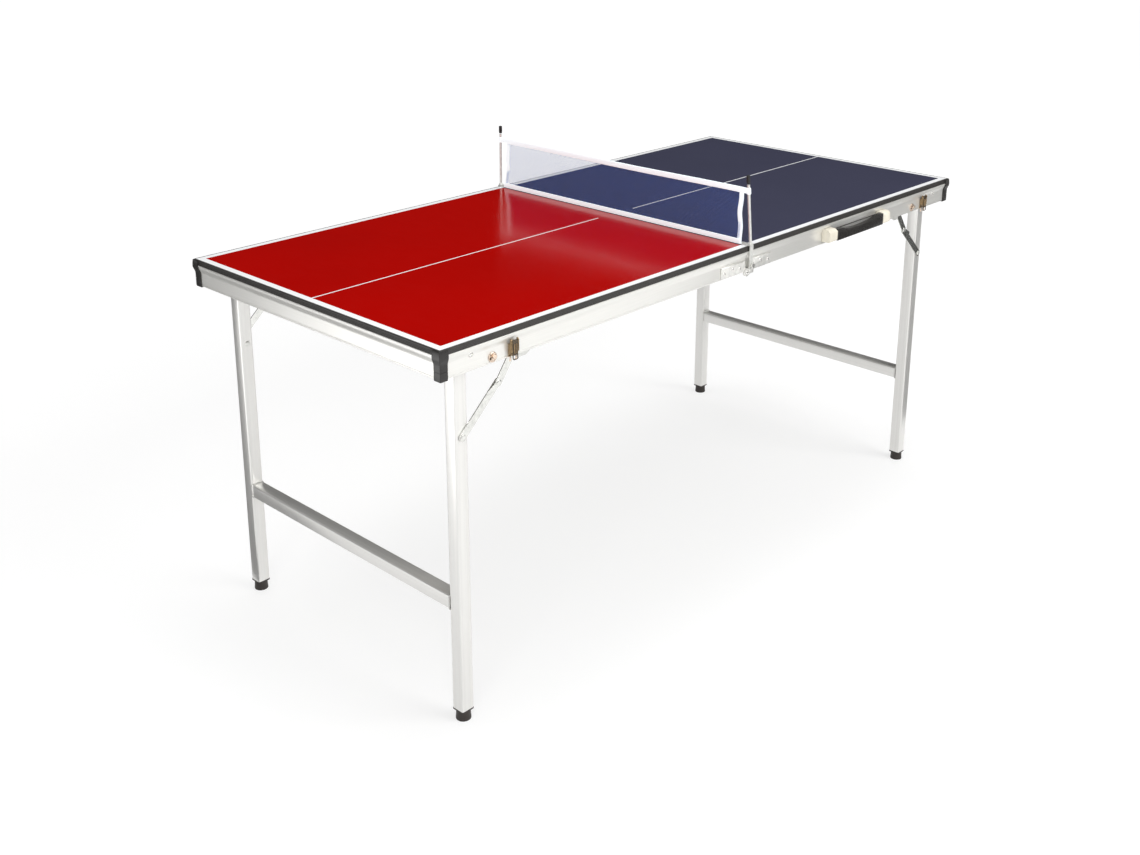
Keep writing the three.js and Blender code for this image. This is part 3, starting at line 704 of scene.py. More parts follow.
def edge_path(s):
    """Points and outward directions round the three outer sides of one half."""
    steps = 7
    path = [(s * SEAM, -HALF_WIDTH, 0, -1)]
    for f in (-1, 1):
        centre_x = s * (HALF_LENGTH - TRIM_CORNER)
        centre_y = f * (HALF_WIDTH - TRIM_CORNER)
        for i in range(steps + 1):
            share = i / steps if f < 0 else 1 - i / steps
            angle = math.pi / 2 * share
            out_x = s * math.sin(angle)
            out_y = f * math.cos(angle)
            path.append((centre_x + TRIM_CORNER * out_x, centre_y + TRIM_CORNER * out_y, out_x, out_y))
    path.append((s * SEAM, HALF_WIDTH, 0, 1))
    return path


def make_edge_strips(settings):
    material = moulded("edge_strip", settings.board.trim, 0.45, 900.0)
    outline = trim_outline(settings.board.ridge / MM)
    for half, s in HALVES:
        rings = [
            [Vector((x + out_x * u, y + out_y * u, TOP + v)) for u, v in outline]
            for x, y, out_x, out_y in edge_path(s)
        ]
        make_piece(
            Shape().loft(rings), f"{half}_edge_strip", material, f"{half}_half",
            (f"{half}_edge_trim",))


# ------------------------------------------------------------------ rails and corner caps

def rail_face(drop):
    """Distance of the rail's outer face from its crest at a depth below the playing surface."""
    if drop <= RAIL["crest_drop"]:
        return 0.0
    if drop >= RAIL["flat_drop"]:
        return -RAIL["recess"]
    share = (drop - RAIL["crest_drop"]) / (RAIL["flat_drop"] - RAIL["crest_drop"])
    return -RAIL["recess"] * (1 - math.cos(math.pi * share)) / 2


def rail_outline():
    """Closed section of the extrusion. u = 0 is the crest, v = 0 the playing surface."""
    start = TRIM_HEIGHT + GAP
    under = -(TOP - UNDERSIDE) - GAP
    lip = RAIL["lip"]
    lip_low = start + RAIL["lip_height"]
    corner = RAIL["corner"]
    steps = 20
    high = lip_low + 0.6
    curve = [high + (RAIL["flat_drop"] - high) * i / steps for i in range(steps + 1)]
    groove = RAIL["groove_drop"]
    depth = RAIL["groove"]
    flat = -RAIL["recess"]
    back = flat - RAIL["wall"]
    tip = back - RAIL["flange"]
    thick = RAIL["flange_thickness"]
    return [
        *arc((lip - 0.5, -start - 0.5), 0.5, 90, 0, 3),
        *arc((lip - 0.5, -lip_low + 0.5), 0.5, 0, -90, 3),
        *[(rail_face(drop), -drop) for drop in curve],
        (flat, -groove + 0.8), (flat - depth, -groove + 0.3),
        (flat - depth, -groove - 0.3), (flat, -groove - 0.8),
        *arc((flat - corner, -RAIL_HEIGHT + corner), corner, 0, -90, 4),
        (tip, -RAIL_HEIGHT), (tip, -RAIL_HEIGHT + thick), (back, -RAIL_HEIGHT + thick),
        (back, under - thick), (tip, under - thick), (tip, under), (-3.3, under), (-3.3, -start),
    ]


def make_rails(settings):
    outline = rail_outline()
    along_x = anodised("rail_along", settings.metal.rail, "X")
    across_y = anodised("rail_across", settings.metal.rail, "Y")
    rail_end = HALF_LENGTH - CAP_SIZE - GAP
    end_reach = HALF_WIDTH - CAP_SIZE - GAP
    for half, s in HALVES:
        body = f"{half}_half"
        for flank, f in SIDES:
            start = Vector((s * SEAM, f * HALF_WIDTH, TOP))
            shape = Shape().extrude(outline, start, Y * f, Z, X * s * (rail_end - SEAM))
            make_piece(
                shape, f"{half}_{flank}_side_rail", along_x, body, (f"{half}_{flank}_rail",))
        start = Vector((s * HALF_LENGTH, -end_reach, TOP))
        shape = Shape().extrude(outline, start, X * s, Z, Y * 2 * end_reach)
        make_piece(shape, f"{half}_cross_rail", across_y, body, (f"{half}_end_rail",))
        refine(f"{half}_seam_rail", across_y, body, 0.3)


def cap_reach(drop):
    """Distance of the cap's outer face from the rail's crest, rounded over towards the rim."""
    if drop >= RAIL["crest_drop"]:
        return CAP_PROUD + rail_face(drop) * CAP_RECESS / RAIL["recess"]
    rise = (RAIL["crest_drop"] - drop) / RAIL["crest_drop"]
    return CAP_PROUD * math.sqrt(1 - rise * rise)


def cap_section(s, f, drop, reach, corner, hollow):
    """One level of a corner cap: the outer corner, closed by a square or round the strip's corner."""
    inner = -CAP_SIZE
    outline = [(reach, inner)]
    outline += arc((reach - corner, reach - corner), corner, 0, 90, 5)
    outline += [(inner, reach)]
    if hollow:
        outline += [
            (inner, 0.2), *arc((-TRIM_CORNER, -TRIM_CORNER), TRIM_CORNER + 0.2, 90, 0, 5), (0.2, inner)]
    else:
        outline += [(inner, inner)]
    return [Vector((s * (HALF_LENGTH + u), f * (HALF_WIDTH + v), TOP - drop)) for u, v in outline]


def cap_levels():
    """(depth, reach) pairs down the cap's column: bulged head, a step, a foot, a chamfered end."""
    start = TRIM_HEIGHT + GAP
    bottom = RAIL_HEIGHT + 1.5
    step_drop = 35.0
    steps = 14
    drops = [start + (step_drop - start) * i / steps for i in range(steps + 1)]
    levels = [(drop, cap_reach(drop)) for drop in drops]
    foot = cap_reach(RAIL_HEIGHT)
    levels += [(step_drop + 0.3, foot - 0.5), (step_drop + 1.0, foot - 0.5), (step_drop + 1.3, foot)]
    levels += [(bottom - 2.5, foot), (bottom - 0.8, foot - 0.6), (bottom, foot - 1.8)]
    return levels


def collar_levels():
    """(depth, reach) pairs of the thin wall that wraps the edge strip's corner."""
    stop = TRIM_HEIGHT + GAP
    steps = 8
    drops = [CAP_CROWN + (stop - CAP_CROWN) * (i / steps) ** 1.6 for i in range(steps + 1)]
    return [(drop, cap_reach(drop)) for drop in drops]


def make_corner_caps(settings):
    material = moulded("corner_cap", settings.plastic.black, 0.32, 1500.0, 0.08, 0.5)
    corner = settings.plastic.corner / MM
    for half, s, flank, f in CORNERS:
        column = [cap_section(s, f, drop, reach, corner, False) for drop, reach in cap_levels()]
        collar = [
            cap_section(s, f, drop, reach, min(corner, reach - 0.25), True)
            for drop, reach in collar_levels()]
        make_piece(
            Shape().loft(column).loft(collar), f"{half}_{flank}_cap", material, f"{half}_half",
            (f"{half}_{flank}_corner_cap",))


# ------------------------------------------------------------------ leg frames

def square_tube(corner, origin, u_axis, v_axis, along):
    """Open square tube with rounded corners."""
    outer = rounded_square(TUBE_HALF, corner)
    inner = rounded_square(TUBE_HALF - TUBE_WALL, max(corner - TUBE_WALL, 0.4))
    return Shape().loft([
        [origin + along * share + u_axis * u + v_axis * v for u, v in outline]
        for outline, share in ((outer, 0), (outer, 1), (inner, 1), (inner, 0))
    ], closed=True)


def weld_spots(s):
    """Ripples of the weld beads where the crossbar meets the legs."""
    spots = []
    reach = TUBE_HALF + 0.4
    outline = rounded_square(reach, 3.0, 3)
    pitch = 2 * reach / 13
    for f in (-1, 1):
        for i, (u, v) in enumerate(outline):
            u_next, v_next = outline[(i + 1) % len(outline)]
            count = max(1, round(math.hypot(u_next - u, v_next - v) / pitch))
            for k in range(count):
                share = k / count
                place = Vector((
                    s * LEG_X + u + (u_next - u) * share, f * (BAR_REACH - 0.4),
                    BAR_Z + v + (v_next - v) * share))
                spots.append((place, Vector((u, -f * 10, v)).normalized()))
    return spots


def make_leg_frames(settings):
    upright = satin_tube("leg_paint", settings.metal.tube, (1.0, 1.0, 0.01))
    level = satin_tube("crossbar_paint", settings.metal.tube, (1.0, 0.01, 1.0))
    zinc = plated("rivet_zinc", settings.metal.zinc, 0.7, 0.30)
    corner = settings.metal.tube_corner / MM
    low, high = (end.z for end in cad_box("blue_far_leg"))
    bead = template_object("bead", Shape().lathe(
        [(0, -0.9), (1.5, -0.6), (1.9, 0.1), (1.3, 0.9), (0, 1.25)], ORIGIN, Z, 10))
    for half, s in HALVES:
        body = f"{half}_legs"
        for flank, f in SIDES:
            tube = square_tube(corner, Vector((s * LEG_X, f * LEG_Y, low)), X, Y, Z * (high - low))
            make_piece(tube, f"{half}_{flank}_leg_tube", upright, body, (f"{half}_{flank}_leg",))
            pin = Vector((s * LEG_X, f * (LEG_Y + TUBE_HALF), STAY_LOW.z))
            head = Shape().rivet(pin + Y * f * 3.0, Y * f, 5.2, 1.7)
            head.lathe([(0, -1), (3, -1), (3, 3.1), (0, 3.1)], pin, Y * f, 20)
            head.rivet(pin - Y * f * 2 * TUBE_HALF, -Y * f, 5.2, 1.7)
            make_piece(head, f"{half}_{flank}_leg_rivet", zinc, body)
        bar = square_tube(3.0, Vector((s * LEG_X, -BAR_REACH, BAR_Z)), X, Z, Y * 2 * BAR_REACH)
        make_piece(bar, f"{half}_crossbar", level, body, (f"{half}_leg_crossbar",))
        repeat(f"{half}_weld_beads", bead, weld_spots(s), upright, body)
    discard(bead)


def make_feet(settings):
    material = moulded("foot_rubber", settings.plastic.foot, 0.5, 1100.0, 0.2, 0.45)
    height = 20.0
    flange = 2.5
    neck = 12.3
    profile = [(0, 0), (11.6, 0), *arc((12.0, 1.0), 1.0, -90, 20, 4), (13.0, 3.6), (12.75, 4.4)]
    profile += [(12.5, 8.0), (neck, 12.0), (neck, height - flange), (neck, height - 0.5)]
    profile += [(9, height - 0.5), (9, height + 12), (0, height + 12)]
    plate = rounded_square(12.8, 2.6, 4)
    inset = rounded_square(12.6, 2.2, 4)
    low = height - flange
    levels = ((inset, low), (plate, low + 0.4), (plate, height - 0.4), (inset, height))
    for half, s, flank, f in CORNERS:
        origin = Vector((s * LEG_X, f * LEG_Y, 0))
        shape = Shape().lathe(profile, origin, Z, 40)
        shape.loft([[origin + Vector((u, v, z)) for u, v in outline] for outline, z in levels])
        make_piece(
            shape, f"{half}_{flank}_rubber_foot", material,
            f"{half}_legs", (f"{half}_{flank}_foot",))


# ------------------------------------------------------------------ stays and their brackets

STAY_WIDTH = 14.0
STAY_THICK = 2.0
UPPER_LENGTH = 87.5
LOWER_LENGTH = 102.5


def knee_place():
    """Where the two links meet with the leg standing, for the half on the +X side."""
    dx = STAY_LOW.x - STAY_TOP.x
    dz = STAY_LOW.z - STAY_TOP.z
    span = math.hypot(dx, dz)
    along = (UPPER_LENGTH ** 2 - LOWER_LENGTH ** 2 + span ** 2) / (2 * span)
    off = math.sqrt(UPPER_LENGTH ** 2 - along ** 2)
    return (
        STAY_TOP.x + (along * dx + off * dz) / span,
        STAY_TOP.z + (along * dz - off * dx) / span,
    )


def link_outline(a, b, width):
    """Flat bar with round ends between two (x, z) places."""
    turn = math.degrees(math.atan2(b[1] - a[1], b[0] - a[0]))
    return arc(b, width / 2, turn - 90, turn + 90, 14) + arc(a, width / 2, turn + 90, turn + 270, 14)


def make_stays(settings):
    material = plated("stay_zinc", settings.metal.zinc, 1.0, 0.20)
    knee_x, knee_z = knee_place()
    for half, s, flank, f in CORNERS:
        name = f"{half}_{flank}"
        knee = (s * knee_x, knee_z)
        inner = span_y(f"{name}_stay_lower")[0]
        outer = span_y(f"{name}_stay_upper")[0]
        low_end = (s * STAY_LOW.x, STAY_LOW.z)
        top_end = (s * STAY_TOP.x, STAY_TOP.z)
        lower = Shape().extrude(
            link_outline(knee, low_end, STAY_WIDTH), Y * f * inner, X, Z, Y * f * STAY_THICK)
        make_piece(
            lower, f"{name}_lower_link", material, f"{name}_stay_lower_link",
            (f"{name}_stay_lower",), 0.25)
        heading = math.atan2(knee[1] - top_end[1], knee[0] - top_end[0]) + s * math.radians(25)
        lug_end = (knee[0] + 24 * math.cos(heading), knee[1] + 24 * math.sin(heading))
        upper = Shape().extrude(
            link_outline(top_end, knee, STAY_WIDTH), Y * f * outer, X, Z, Y * f * STAY_THICK)
        upper.extrude(link_outline(knee, lug_end, 8), Y * f * (outer + 0.15), X, Z, Y * f * 1.7)
        upper.rivet(Vector((knee[0], f * (outer + STAY_THICK), knee[1])), Y * f, 4.9, 1.7)
        make_piece(
            upper, f"{name}_upper_link", material, f"{name}_stay_upper_link",
            (f"{name}_stay_upper",), 0.25)


def make_brackets(settings):
    material = plated("bracket_zinc", settings.metal.zinc, 0.6, 0.34)
    for half, _, flank, _ in CORNERS:
        refine(f"{half}_{flank}_fold_bracket", material, f"{half}_half", 0.4)


# ------------------------------------------------------------------ hinges at the seam

def leaf_edge(s, f, leaf):
    """Adds the rolled top edge to a hinge leaf."""
    def add(shape):
        low, high = cad_box(leaf)
        outer_x = max(abs(low.x), abs(high.x))
        face = min(abs((low if f < 0 else high).y - CENTRE_Y), FLAT_Y + 2.0)
        start = Vector((s * 11, f * (face + 0.1), high.z - 1.2))
        shape.extrude(arc((0, 0), 1.0, 0, 360, 12)[:-1], start, Y, Z, X * s * (outer_x - 11))
    return add


def make_hinges(settings):
    material = plated("hinge_zinc", settings.metal.rail, 0.6, 0.34, 120.0)
    pin = plated("hinge_pin", settings.metal.rail, 0.9, 0.18)
    rivet = template_object("rivet", Shape().rivet(ORIGIN, Z, settings.metal.rivet / MM, 1.5))
    for half, s in HALVES:
        body = f"{half}_half"
        spots = []
        for flank, f in SIDES:
            leaf = f"{half}_{flank}_hinge_leaf"
            refine(leaf, material, body, 0.45, 2, leaf_edge(s, f, leaf))
            spots += [
                (Vector((s * x, f * (FLAT_Y + 2.0), RAIL_BOTTOM + z)), Y * f)
                for x, z in ((20.0, 11.5), (43.0, 15.5), (67.0, 11.5))]
        repeat(f"{half}_hinge_rivets", rivet, spots, pin, body)
    discard(rivet)
    for flank, f in SIDES:
        start, end = span_y(f"{flank}_hinge_pin")
        length = end - start
        profile = [(0, 0), (2.4, 0), (2.4, length - 1.5), (4.4, length - 1.5), (4.4, length - 0.9)]
        profile += [(3.6, length - 0.25), (2.2, length), (1.6, length - 0.5), (0, length - 0.5)]
        make_piece(
            Shape().lathe(profile, Vector((0, f * start, RAIL_BOTTOM)), Y * f, 36), f"{flank}_pin", pin,
            "red_half", (f"{flank}_hinge_pin",))


# ------------------------------------------------------------------ latches, catches and handle

BARREL = 2.8


def latch_flap_shape(place):
    """Sheet flap that curls round its pin."""
    half = 5.1
    front = place.y - BARREL
    low = place.z - 20
    curl = arc((place.y, place.z), BARREL, 200, 40, 8)
    outline = [
        (front - 0.6, low - 1.5), (front, low + 1), (front, place.z - 1), *curl,
        (place.y + 1.1, place.z), (front + 1.4, place.z - 1), (front + 1.4, low + 1),
        (front + 0.8, low - 1.5)]
    return Shape().extrude(outline, X * (place.x - half), Y, Z, X * 2 * half)


def flap_ribs(place):
    """Pressed ribs down the front of the flap."""
    shape = Shape()
    for k in (-1, 1):
        rib = Vector((place.x + k * 2.2, place.y - BARREL - 0.1, place.z - 18))
        shape.wire([rib + Z * rise for rise in (0, 4, 9, 15)], 1.0, 8)
    return shape


def latch_loop(place):
    """Sprung wire loop that hooks over the catch."""
    half = 5.0
    front = place.y - 2.2
    low = place.z - 28.4
    drop = place.z - 12
    bend = 2.5
    corners = [
        Vector((place.x + side * (half - bend) + u, front - 0.6, low + bend + v))
        for side, start in ((1, 0), (-1, -90)) for u, v in arc((0, 0), bend, start, start - 90, 5)]
    right = [Vector((place.x + half, front, z)) for z in (drop, low + bend)]
    left = [Vector((place.x - half, front, z)) for z in (low + bend + 1, drop)]
    return Shape().wire(right + corners + left, 0.9)


def make_latches(settings):
    bronze = plated("latch_bronze", settings.metal.bronze, 0.9, 0.26)
    brown = plated("flap_brown", settings.metal.screw, 0.7, 0.3)
    gold = plated("catch_gold", settings.metal.gold, 0.75, 0.26)
    dark = plated("wire_dark", settings.metal.screw, 0.9, 0.32)
    screw = screw_template(2.0, 1.1)
    for half, _ in HALVES:
        place = joint_place(f"{half}_latch_turn")
        case = f"{half}_half"
        flap = f"{half}_latch_flap"
        refine(f"{half}_latch_base", bronze, case, 0.5, 2)
        hooks = Shape()
        for k in (-1, 1):
            start = Vector((place.x + k * 6.0, -FLAT_Y - 2.0, cad_box(f"{half}_latch_base")[0].z + 1))
            hooks.wire([start, start - Z * 3 - Y * 1.2, start - Z * 6 - Y, start - Z * 8 + Y * 0.2], 1.5)
        make_piece(hooks, f"{half}_latch_hooks", gold, case)
        make_piece(
            latch_flap_shape(place), f"{half}_latch_handle", brown, flap,
            (f"{half}_latch_lever",), 0.3)
        make_piece(flap_ribs(place), f"{half}_latch_ribs", bronze, flap)
        make_piece(latch_loop(place), f"{half}_latch_loop", dark, flap)
        low, high = cad_box(f"{half}_latch_catch")
        centre = Vector(((low.x + high.x) / 2, -FLAT_Y, (low.z + high.z) / 2))
        plate = Shape().lathe(
            [(0, 0), (8.3, 0), (8.5, 0.5), (8.3, 1.4), (7.2, 1.9), (6.4, 1.6), (0, 1.5)], centre, -Y, 36)
        lug = [(-1.0, 0), (-6.6, 0), (-6.9, 4.8), (-5.6, 5.0), (-5.0, 2.4), (-1.0, 2.4)]
        plate.extrude(lug, centre - X * 3.6 - Z * 0.5, Y, Z, X * 7.2)
        make_piece(plate, f"{half}_catch", gold, case, (f"{half}_latch_catch",), 0.3)
        spots = [(centre + X * k * 5.7 - Y * 1.7 + Z * k * 1.2, -Y) for k in (-1, 1)]
        repeat(f"{half}_catch_screws", screw, spots, dark, case)
    discard(screw)


def handle_ribs(shape):
    """Upright ribs on the front of the grip and the rolled edge along its back."""
    low, high = cad_box("handle_grip")
    count = 15
    pitch = 6.0
    for i in range(count):
        x = (low.x + high.x) / 2 + (i - (count - 1) / 2) * pitch
        base = Vector((x, low.y - CENTRE_Y - 0.05, low.z + 3.5))
        shape.wire([base + Z * rise for rise in (0, 3, 6, 9)], 0.6, 8)
    edge = Vector((low.x + 9, high.y - CENTRE_Y - 1.3, high.z - 0.9))
    span = X * (high.x - low.x - 18)
    shape.wire([edge + span * share for share in (0, 0.3, 0.7, 1)], 0.9, 8)


def make_handle(settings):
    cream = moulded("handle_cream", settings.plastic.cream, 0.42, 1300.0, 0.10)
    black = moulded("handle_black", settings.plastic.black, 0.26, 1500.0, 0.06, 0.6)
    for end in ("inner", "outer"):
        refine(f"handle_{end}_block", cream, "blue_half", 1.4, 3)
    refine("handle_grip", black, "handle", 1.0, 3, handle_ribs)


# ------------------------------------------------------------------ net and posts

def net_tree():
    """Square lattice of cords in the YZ plane that sways a little out of it."""
    tree = bpy.data.node_groups.new("net_lattice", "GeometryNodeTree")
    open_sockets(tree, {
        "Geometry": "Geometry", "Width": "Float", "Height": "Float", "Pitch": "Float", "Strand": "Float",
        "Sway": "Float", "Lean": "Float", "Corner": "Vector", "Finish": "Material"})
    wiring = Wiring(tree)
    add, calc = wiring.add, wiring.math
    inputs = add("NodeGroupInput").outputs
    zero = add("ShaderNodeCombineXYZ").outputs[0]
    section = add(
        "GeometryNodeCurvePrimitiveQuadrilateral", {0: inputs["Strand"], 1: inputs["Strand"]}).outputs[0]

    def strands(length, spread, along, step_axis, detail):
        count = calc("ADD", calc("ROUND", calc("DIVIDE", spread, inputs["Pitch"])), 1.0)
        step = calc("DIVIDE", spread, calc("SUBTRACT", count, 1.0))
        offset = add("ShaderNodeCombineXYZ", {step_axis: step}).outputs[0]
        row = add("GeometryNodeMeshLine", {"Count": count, "Offset": offset}, mode="OFFSET").outputs[0]
        end = add("ShaderNodeCombineXYZ", {along: length}).outputs[0]
        line = add("GeometryNodeCurvePrimitiveLine", {"Start": zero, "End": end}).outputs[0]
        fine = add("GeometryNodeResampleCurve", {"Curve": line, "Count": detail}).outputs[0]
        cord = add("GeometryNodeCurveToMesh", {"Curve": fine, "Profile Curve": section, "Fill Caps": True})
        copies = add("GeometryNodeInstanceOnPoints", {"Points": row, "Instance": cord.outputs[0]})
        return add("GeometryNodeRealizeInstances", {"Geometry": copies.outputs[0]}).outputs[0]

    upright = strands(inputs["Height"], inputs["Width"], "Z", "Y", 8)
    level = strands(inputs["Width"], inputs["Height"], "Y", "Z", 48)
    both = add("GeometryNodeJoinGeometry")
    tree.links.new(upright, both.inputs[0])
    tree.links.new(level, both.inputs[0])
    place = add("GeometryNodeInputPosition").outputs[0]
    wander = add("ShaderNodeTexNoise", {"Vector": place, "Scale": 9.0, "Detail": 1.0}).outputs["Fac"]
    sway = calc("MULTIPLY", calc("SUBTRACT", wander, 0.5), inputs["Sway"])
    rise = add("ShaderNodeSeparateXYZ", {"Vector": place}).outputs["Z"]
    depth = calc("SUBTRACT", 1.0, calc("DIVIDE", rise, inputs["Height"]))
    lean = calc("MULTIPLY", calc("POWER", depth, 2.0), inputs["Lean"])
    drift = calc("SUBTRACT", calc("MULTIPLY", sway, 2.0), lean)
    shift = add("ShaderNodeCombineXYZ", {"X": drift}).outputs[0]
    total = add("ShaderNodeVectorMath", {0: shift, 1: inputs["Corner"]}, operation="ADD").outputs[0]
    moved = add("GeometryNodeSetPosition", {"Geometry": both.outputs[0], "Offset": total}).outputs[0]
    real = add("GeometryNodeRealizeInstances", {"Geometry": moved}).outputs[0]
    done = add("GeometryNodeSetMaterial", {"Geometry": real, "Material": inputs["Finish"]}).outputs[0]
    add("NodeGroupOutput", {"Geometry": done})
    return tree


POST_LEAN = {"near": 5.0, "far": 0.5}  # degrees inwards
POST_FOOT_Z = TOP + 1.3
POST_ROD = 2.75


def post_axis(flank, f):
    lean = math.radians(POST_LEAN[flank])
    return Vector((0, -f * math.sin(lean), math.cos(lean)))


def post_at(flank, f, z):
    """Place on a post's axis at a height."""
    axis = post_axis(flank, f)
    foot = Vector((NET_X, f * HALF_WIDTH, POST_FOOT_Z))
    return foot + axis * ((z - POST_FOOT_Z) / axis.z)


def band_section(half_thickness, low, high):
    """Folded tape: round at the top and bottom."""
    outline = arc((0, high - half_thickness), half_thickness, 0, 180, 6)
    return outline + arc((0, low + half_thickness), half_thickness, 180, 360, 6)


def make_tape(name, places, half_thickness, height, material):
    """A tape whose lower edge follows a list of places; it stands up along Z."""
    section = band_section(half_thickness, 0, height)
    rings = [[place + X * u + Z * v for u, v in section] for place in places]
    return make_piece(Shape().loft(rings), name, material, "net_set")


def make_side_tape(name, f, low, high, lean, material):
    """Upright tape at a net's end, with the gentle waves of a loose selvedge."""
    steps = 26
    width = 9.5
    rings = []
    for i in range(steps + 1):
        share = i / steps
        z = low + (high - low) * share
        wave = 1.6 * math.sin(share * 9.0 + f) * math.sin(share * math.pi) + 3.5 * (1 - share) ** 4
        outer = f * (NET_REACH - 1.0 + wave)
        inner = outer - f * width
        sway = 0.6 * math.sin(share * 7.0) - lean * (1 - share) ** 2
        rings.append([
            Vector((NET_X + sway + u, inner if v < 0 else outer, z))
            for u, v in ((-0.7, -1), (-0.85, 0.5), (-0.4, 1), (0.4, 1), (0.85, 0.5), (0.7, -1))])
    return make_piece(Shape().loft(rings), name, material, "net_set", (), 0.3)


def make_sleeve(flank, f, band, material):
    """Turned end of the top tape, a tube round the post."""
    axis = post_axis(flank, f)
    origin = post_at(flank, f, NET_HIGH - band - 0.5)
    other = axis.cross(X)
    rings = [
        [origin + axis * level + X * radius * math.cos(a) + other * radius * math.sin(a)
         for a in (2 * math.pi * k / 28 for k in range(28))]
        for radius, level in ((3.0, 0), (4.0, 0.3), (4.2, band / 2), (4.0, band + 0.7), (3.0, band + 1))]
    return make_piece(
        Shape().loft(rings, closed=True), f"net_{flank}_sleeve", material, "net_set")


def make_net(settings):
    net = settings.net
    cord = woven("net_cord", net.cord, 0.5)
    # The tape's 0.5 is the strength of its painted glow.
    tape = woven("net_tape", net.tape, 0.9, 0.5)
    band = net.band / MM
    lean = net.lean / MM
    lattice = add_object("net_mesh", bpy.data.meshes.new("net_mesh"))
    width = 2 * (NET_REACH - 4)
    low = NET_LOW + 2
    height = NET_HIGH - 3 - low
    corner = Vector((NET_X, -width / 2 + CENTRE_Y, low)) * MM
    grow(lattice, net_tree(), {
        "Width": width * MM, "Height": height * MM, "Pitch": net.pitch, "Strand": net.strand,
        "Sway": net.wave, "Lean": net.lean, "Corner": corner, "Finish": cord,
    })
    register_piece(lattice, "net_set", ("net_panel",))
    near_end = post_at("near", -1, NET_HIGH - band / 2).y
    far_end = post_at("far", 1, NET_HIGH - band / 2).y
    steps = 40
    shares = [i / steps for i in range(steps + 1)]
    top_places = [
        Vector((
            NET_X + 0.5 * math.sin(share * 11), near_end + (far_end - near_end) * share,
            NET_HIGH - band - 1.6 * math.sin(math.pi * share) ** 2))
        for share in shares]
    bottom_places = [
        Vector((NET_X - lean + 0.4 * math.sin(share * 8), NET_REACH * (2 * share - 1), NET_LOW - 2.8))
        for share in shares]
    tapes = [
        make_tape("net_top_tape", top_places, 1.35, band, tape),
        make_tape("net_bottom_tape", bottom_places, 1.0, net.hem / MM, tape),
        make_side_tape("net_near_tape", -1, NET_LOW - 2, NET_HIGH - band + 1, lean, tape),
        make_side_tape("net_far_tape", 1, NET_LOW - 2, NET_HIGH - band + 1, lean, tape),
    ]
    tapes += [make_sleeve(flank, f, band, tape) for flank, f in SIDES]


def make_posts(settings):
    steel = plated("post_zinc", settings.metal.zinc, 0.45, 0.30)
    rubber = moulded("post_cap", settings.plastic.rubber, 0.5, 1300.0, 0.18)
    knob = plated("clamp_zinc", settings.metal.zinc, 0.95, 0.24)
    inner = HALF_WIDTH + 1.1
    reach = HALF_WIDTH - 22
    strip = TOP + GAP
    strip_top = strip + 2.5
    rod_length = 113
    tall = 15.8
    tip = [(0, 0), (3.0, 0), (3.4, 0.5), (3.2, 2.2), (3.55, 3.0), (3.55, tall - 2.2)]
    tip += arc((1.5, tall - 2.05), 2.05, 0, 90, 6) + [(0, tall)]
    for flank, f in SIDES:
        low, high = cad_box(f"net_{flank}_post")
        axis = post_axis(flank, f)
        half = (high.x - low.x) / 2
        strap = [
            (inner, low.z), (inner + 2.5, low.z), (inner + 2.5, strip_top - 1.6),
            (inner + 1.9, strip_top - 0.5), (inner + 0.8, strip_top), (reach, strip_top),
            (reach, strip), (inner, strip),
        ]
        stand = Shape().extrude(strap, X * (NET_X - half), Y * f, Z, X * 2 * half)
        rod = [(0, 0), (4.6, 0), (4.6, 2.2), (3.4, 3.4), (POST_ROD, 4.2), (POST_ROD, rod_length)]
        stand.lathe([*rod, (0, rod_length)], post_at(flank, f, strip_top - 1), axis, 28)
        make_piece(stand, f"net_{flank}_stand", steel, "net_set", (f"net_{flank}_post",), 0.35)
        cap_low = post_at(flank, f, cad_box(f"net_{flank}_post_cap")[0].z + 0.4)
        make_piece(
            Shape().lathe(tip, cap_low, axis, 32), f"net_{flank}_tip", rubber, "net_set",
            (f"net_{flank}_post_cap",))
        screw = f"net_{flank}_clamp_screw"
        start, end = span_y(screw)
        origin = Vector((NET_X, f * start, (cad_box(screw)[0].z + cad_box(screw)[1].z) / 2))
        length = end - start
        neck = length - 5
        shaft = [(0, 0), (1.6, 0), (2.4, 0.8), (2.4, neck + 0.5), (0, neck + 0.5)]
        head = [(0, neck), (4.1, neck), (4.9, neck + 0.7), (4.9, length - 0.7), (4.2, length), (0, length)]
        clamp = Shape().lathe(shaft, origin, Y * f, 20).lathe(head, origin, Y * f, 84, 14, 0.4)
        make_piece(clamp, f"net_{flank}_clamp", knob, f"{flank}_clamp", (screw,))


# ------------------------------------------------------------------ screws on the case

def make_screws(settings):
    bright = plated("screw_zinc", settings.metal.zinc, 0.9, 0.22)
    plain = plated("screw_pale", settings.metal.rail, 0.7, 0.3)
    large = screw_template(4.2, 2.0)
    small = screw_template(3.2, 1.6)
    pivot_drop = TOP - PIVOT_Z - 1.5
    rail_y = HALF_WIDTH + rail_face(pivot_drop)
    for half, s in HALVES:
        body = f"{half}_half"
        side_spots = [(Vector((s * LEG_X, f * (rail_y - 0.1), TOP - pivot_drop)), Y * f) for _, f in SIDES]
        repeat(f"{half}_pivot_screws", large, side_spots, bright, body)
        places = [(x, f * (FLAT_Y - 6.0)) for _, f in SIDES for x in (692.0, 462.0, 232.0)]
        places += [(HALF_LENGTH - 10, y) for y in (0.0, 200.0, -200.0)]
        low_spots = [(Vector((s * x, y, RAIL_BOTTOM)), -Z) for x, y in places]
        repeat(f"{half}_flange_screws", small, low_spots, plain, body)
    discard(large)
    discard(small)


# ------------------------------------------------------------------ stage

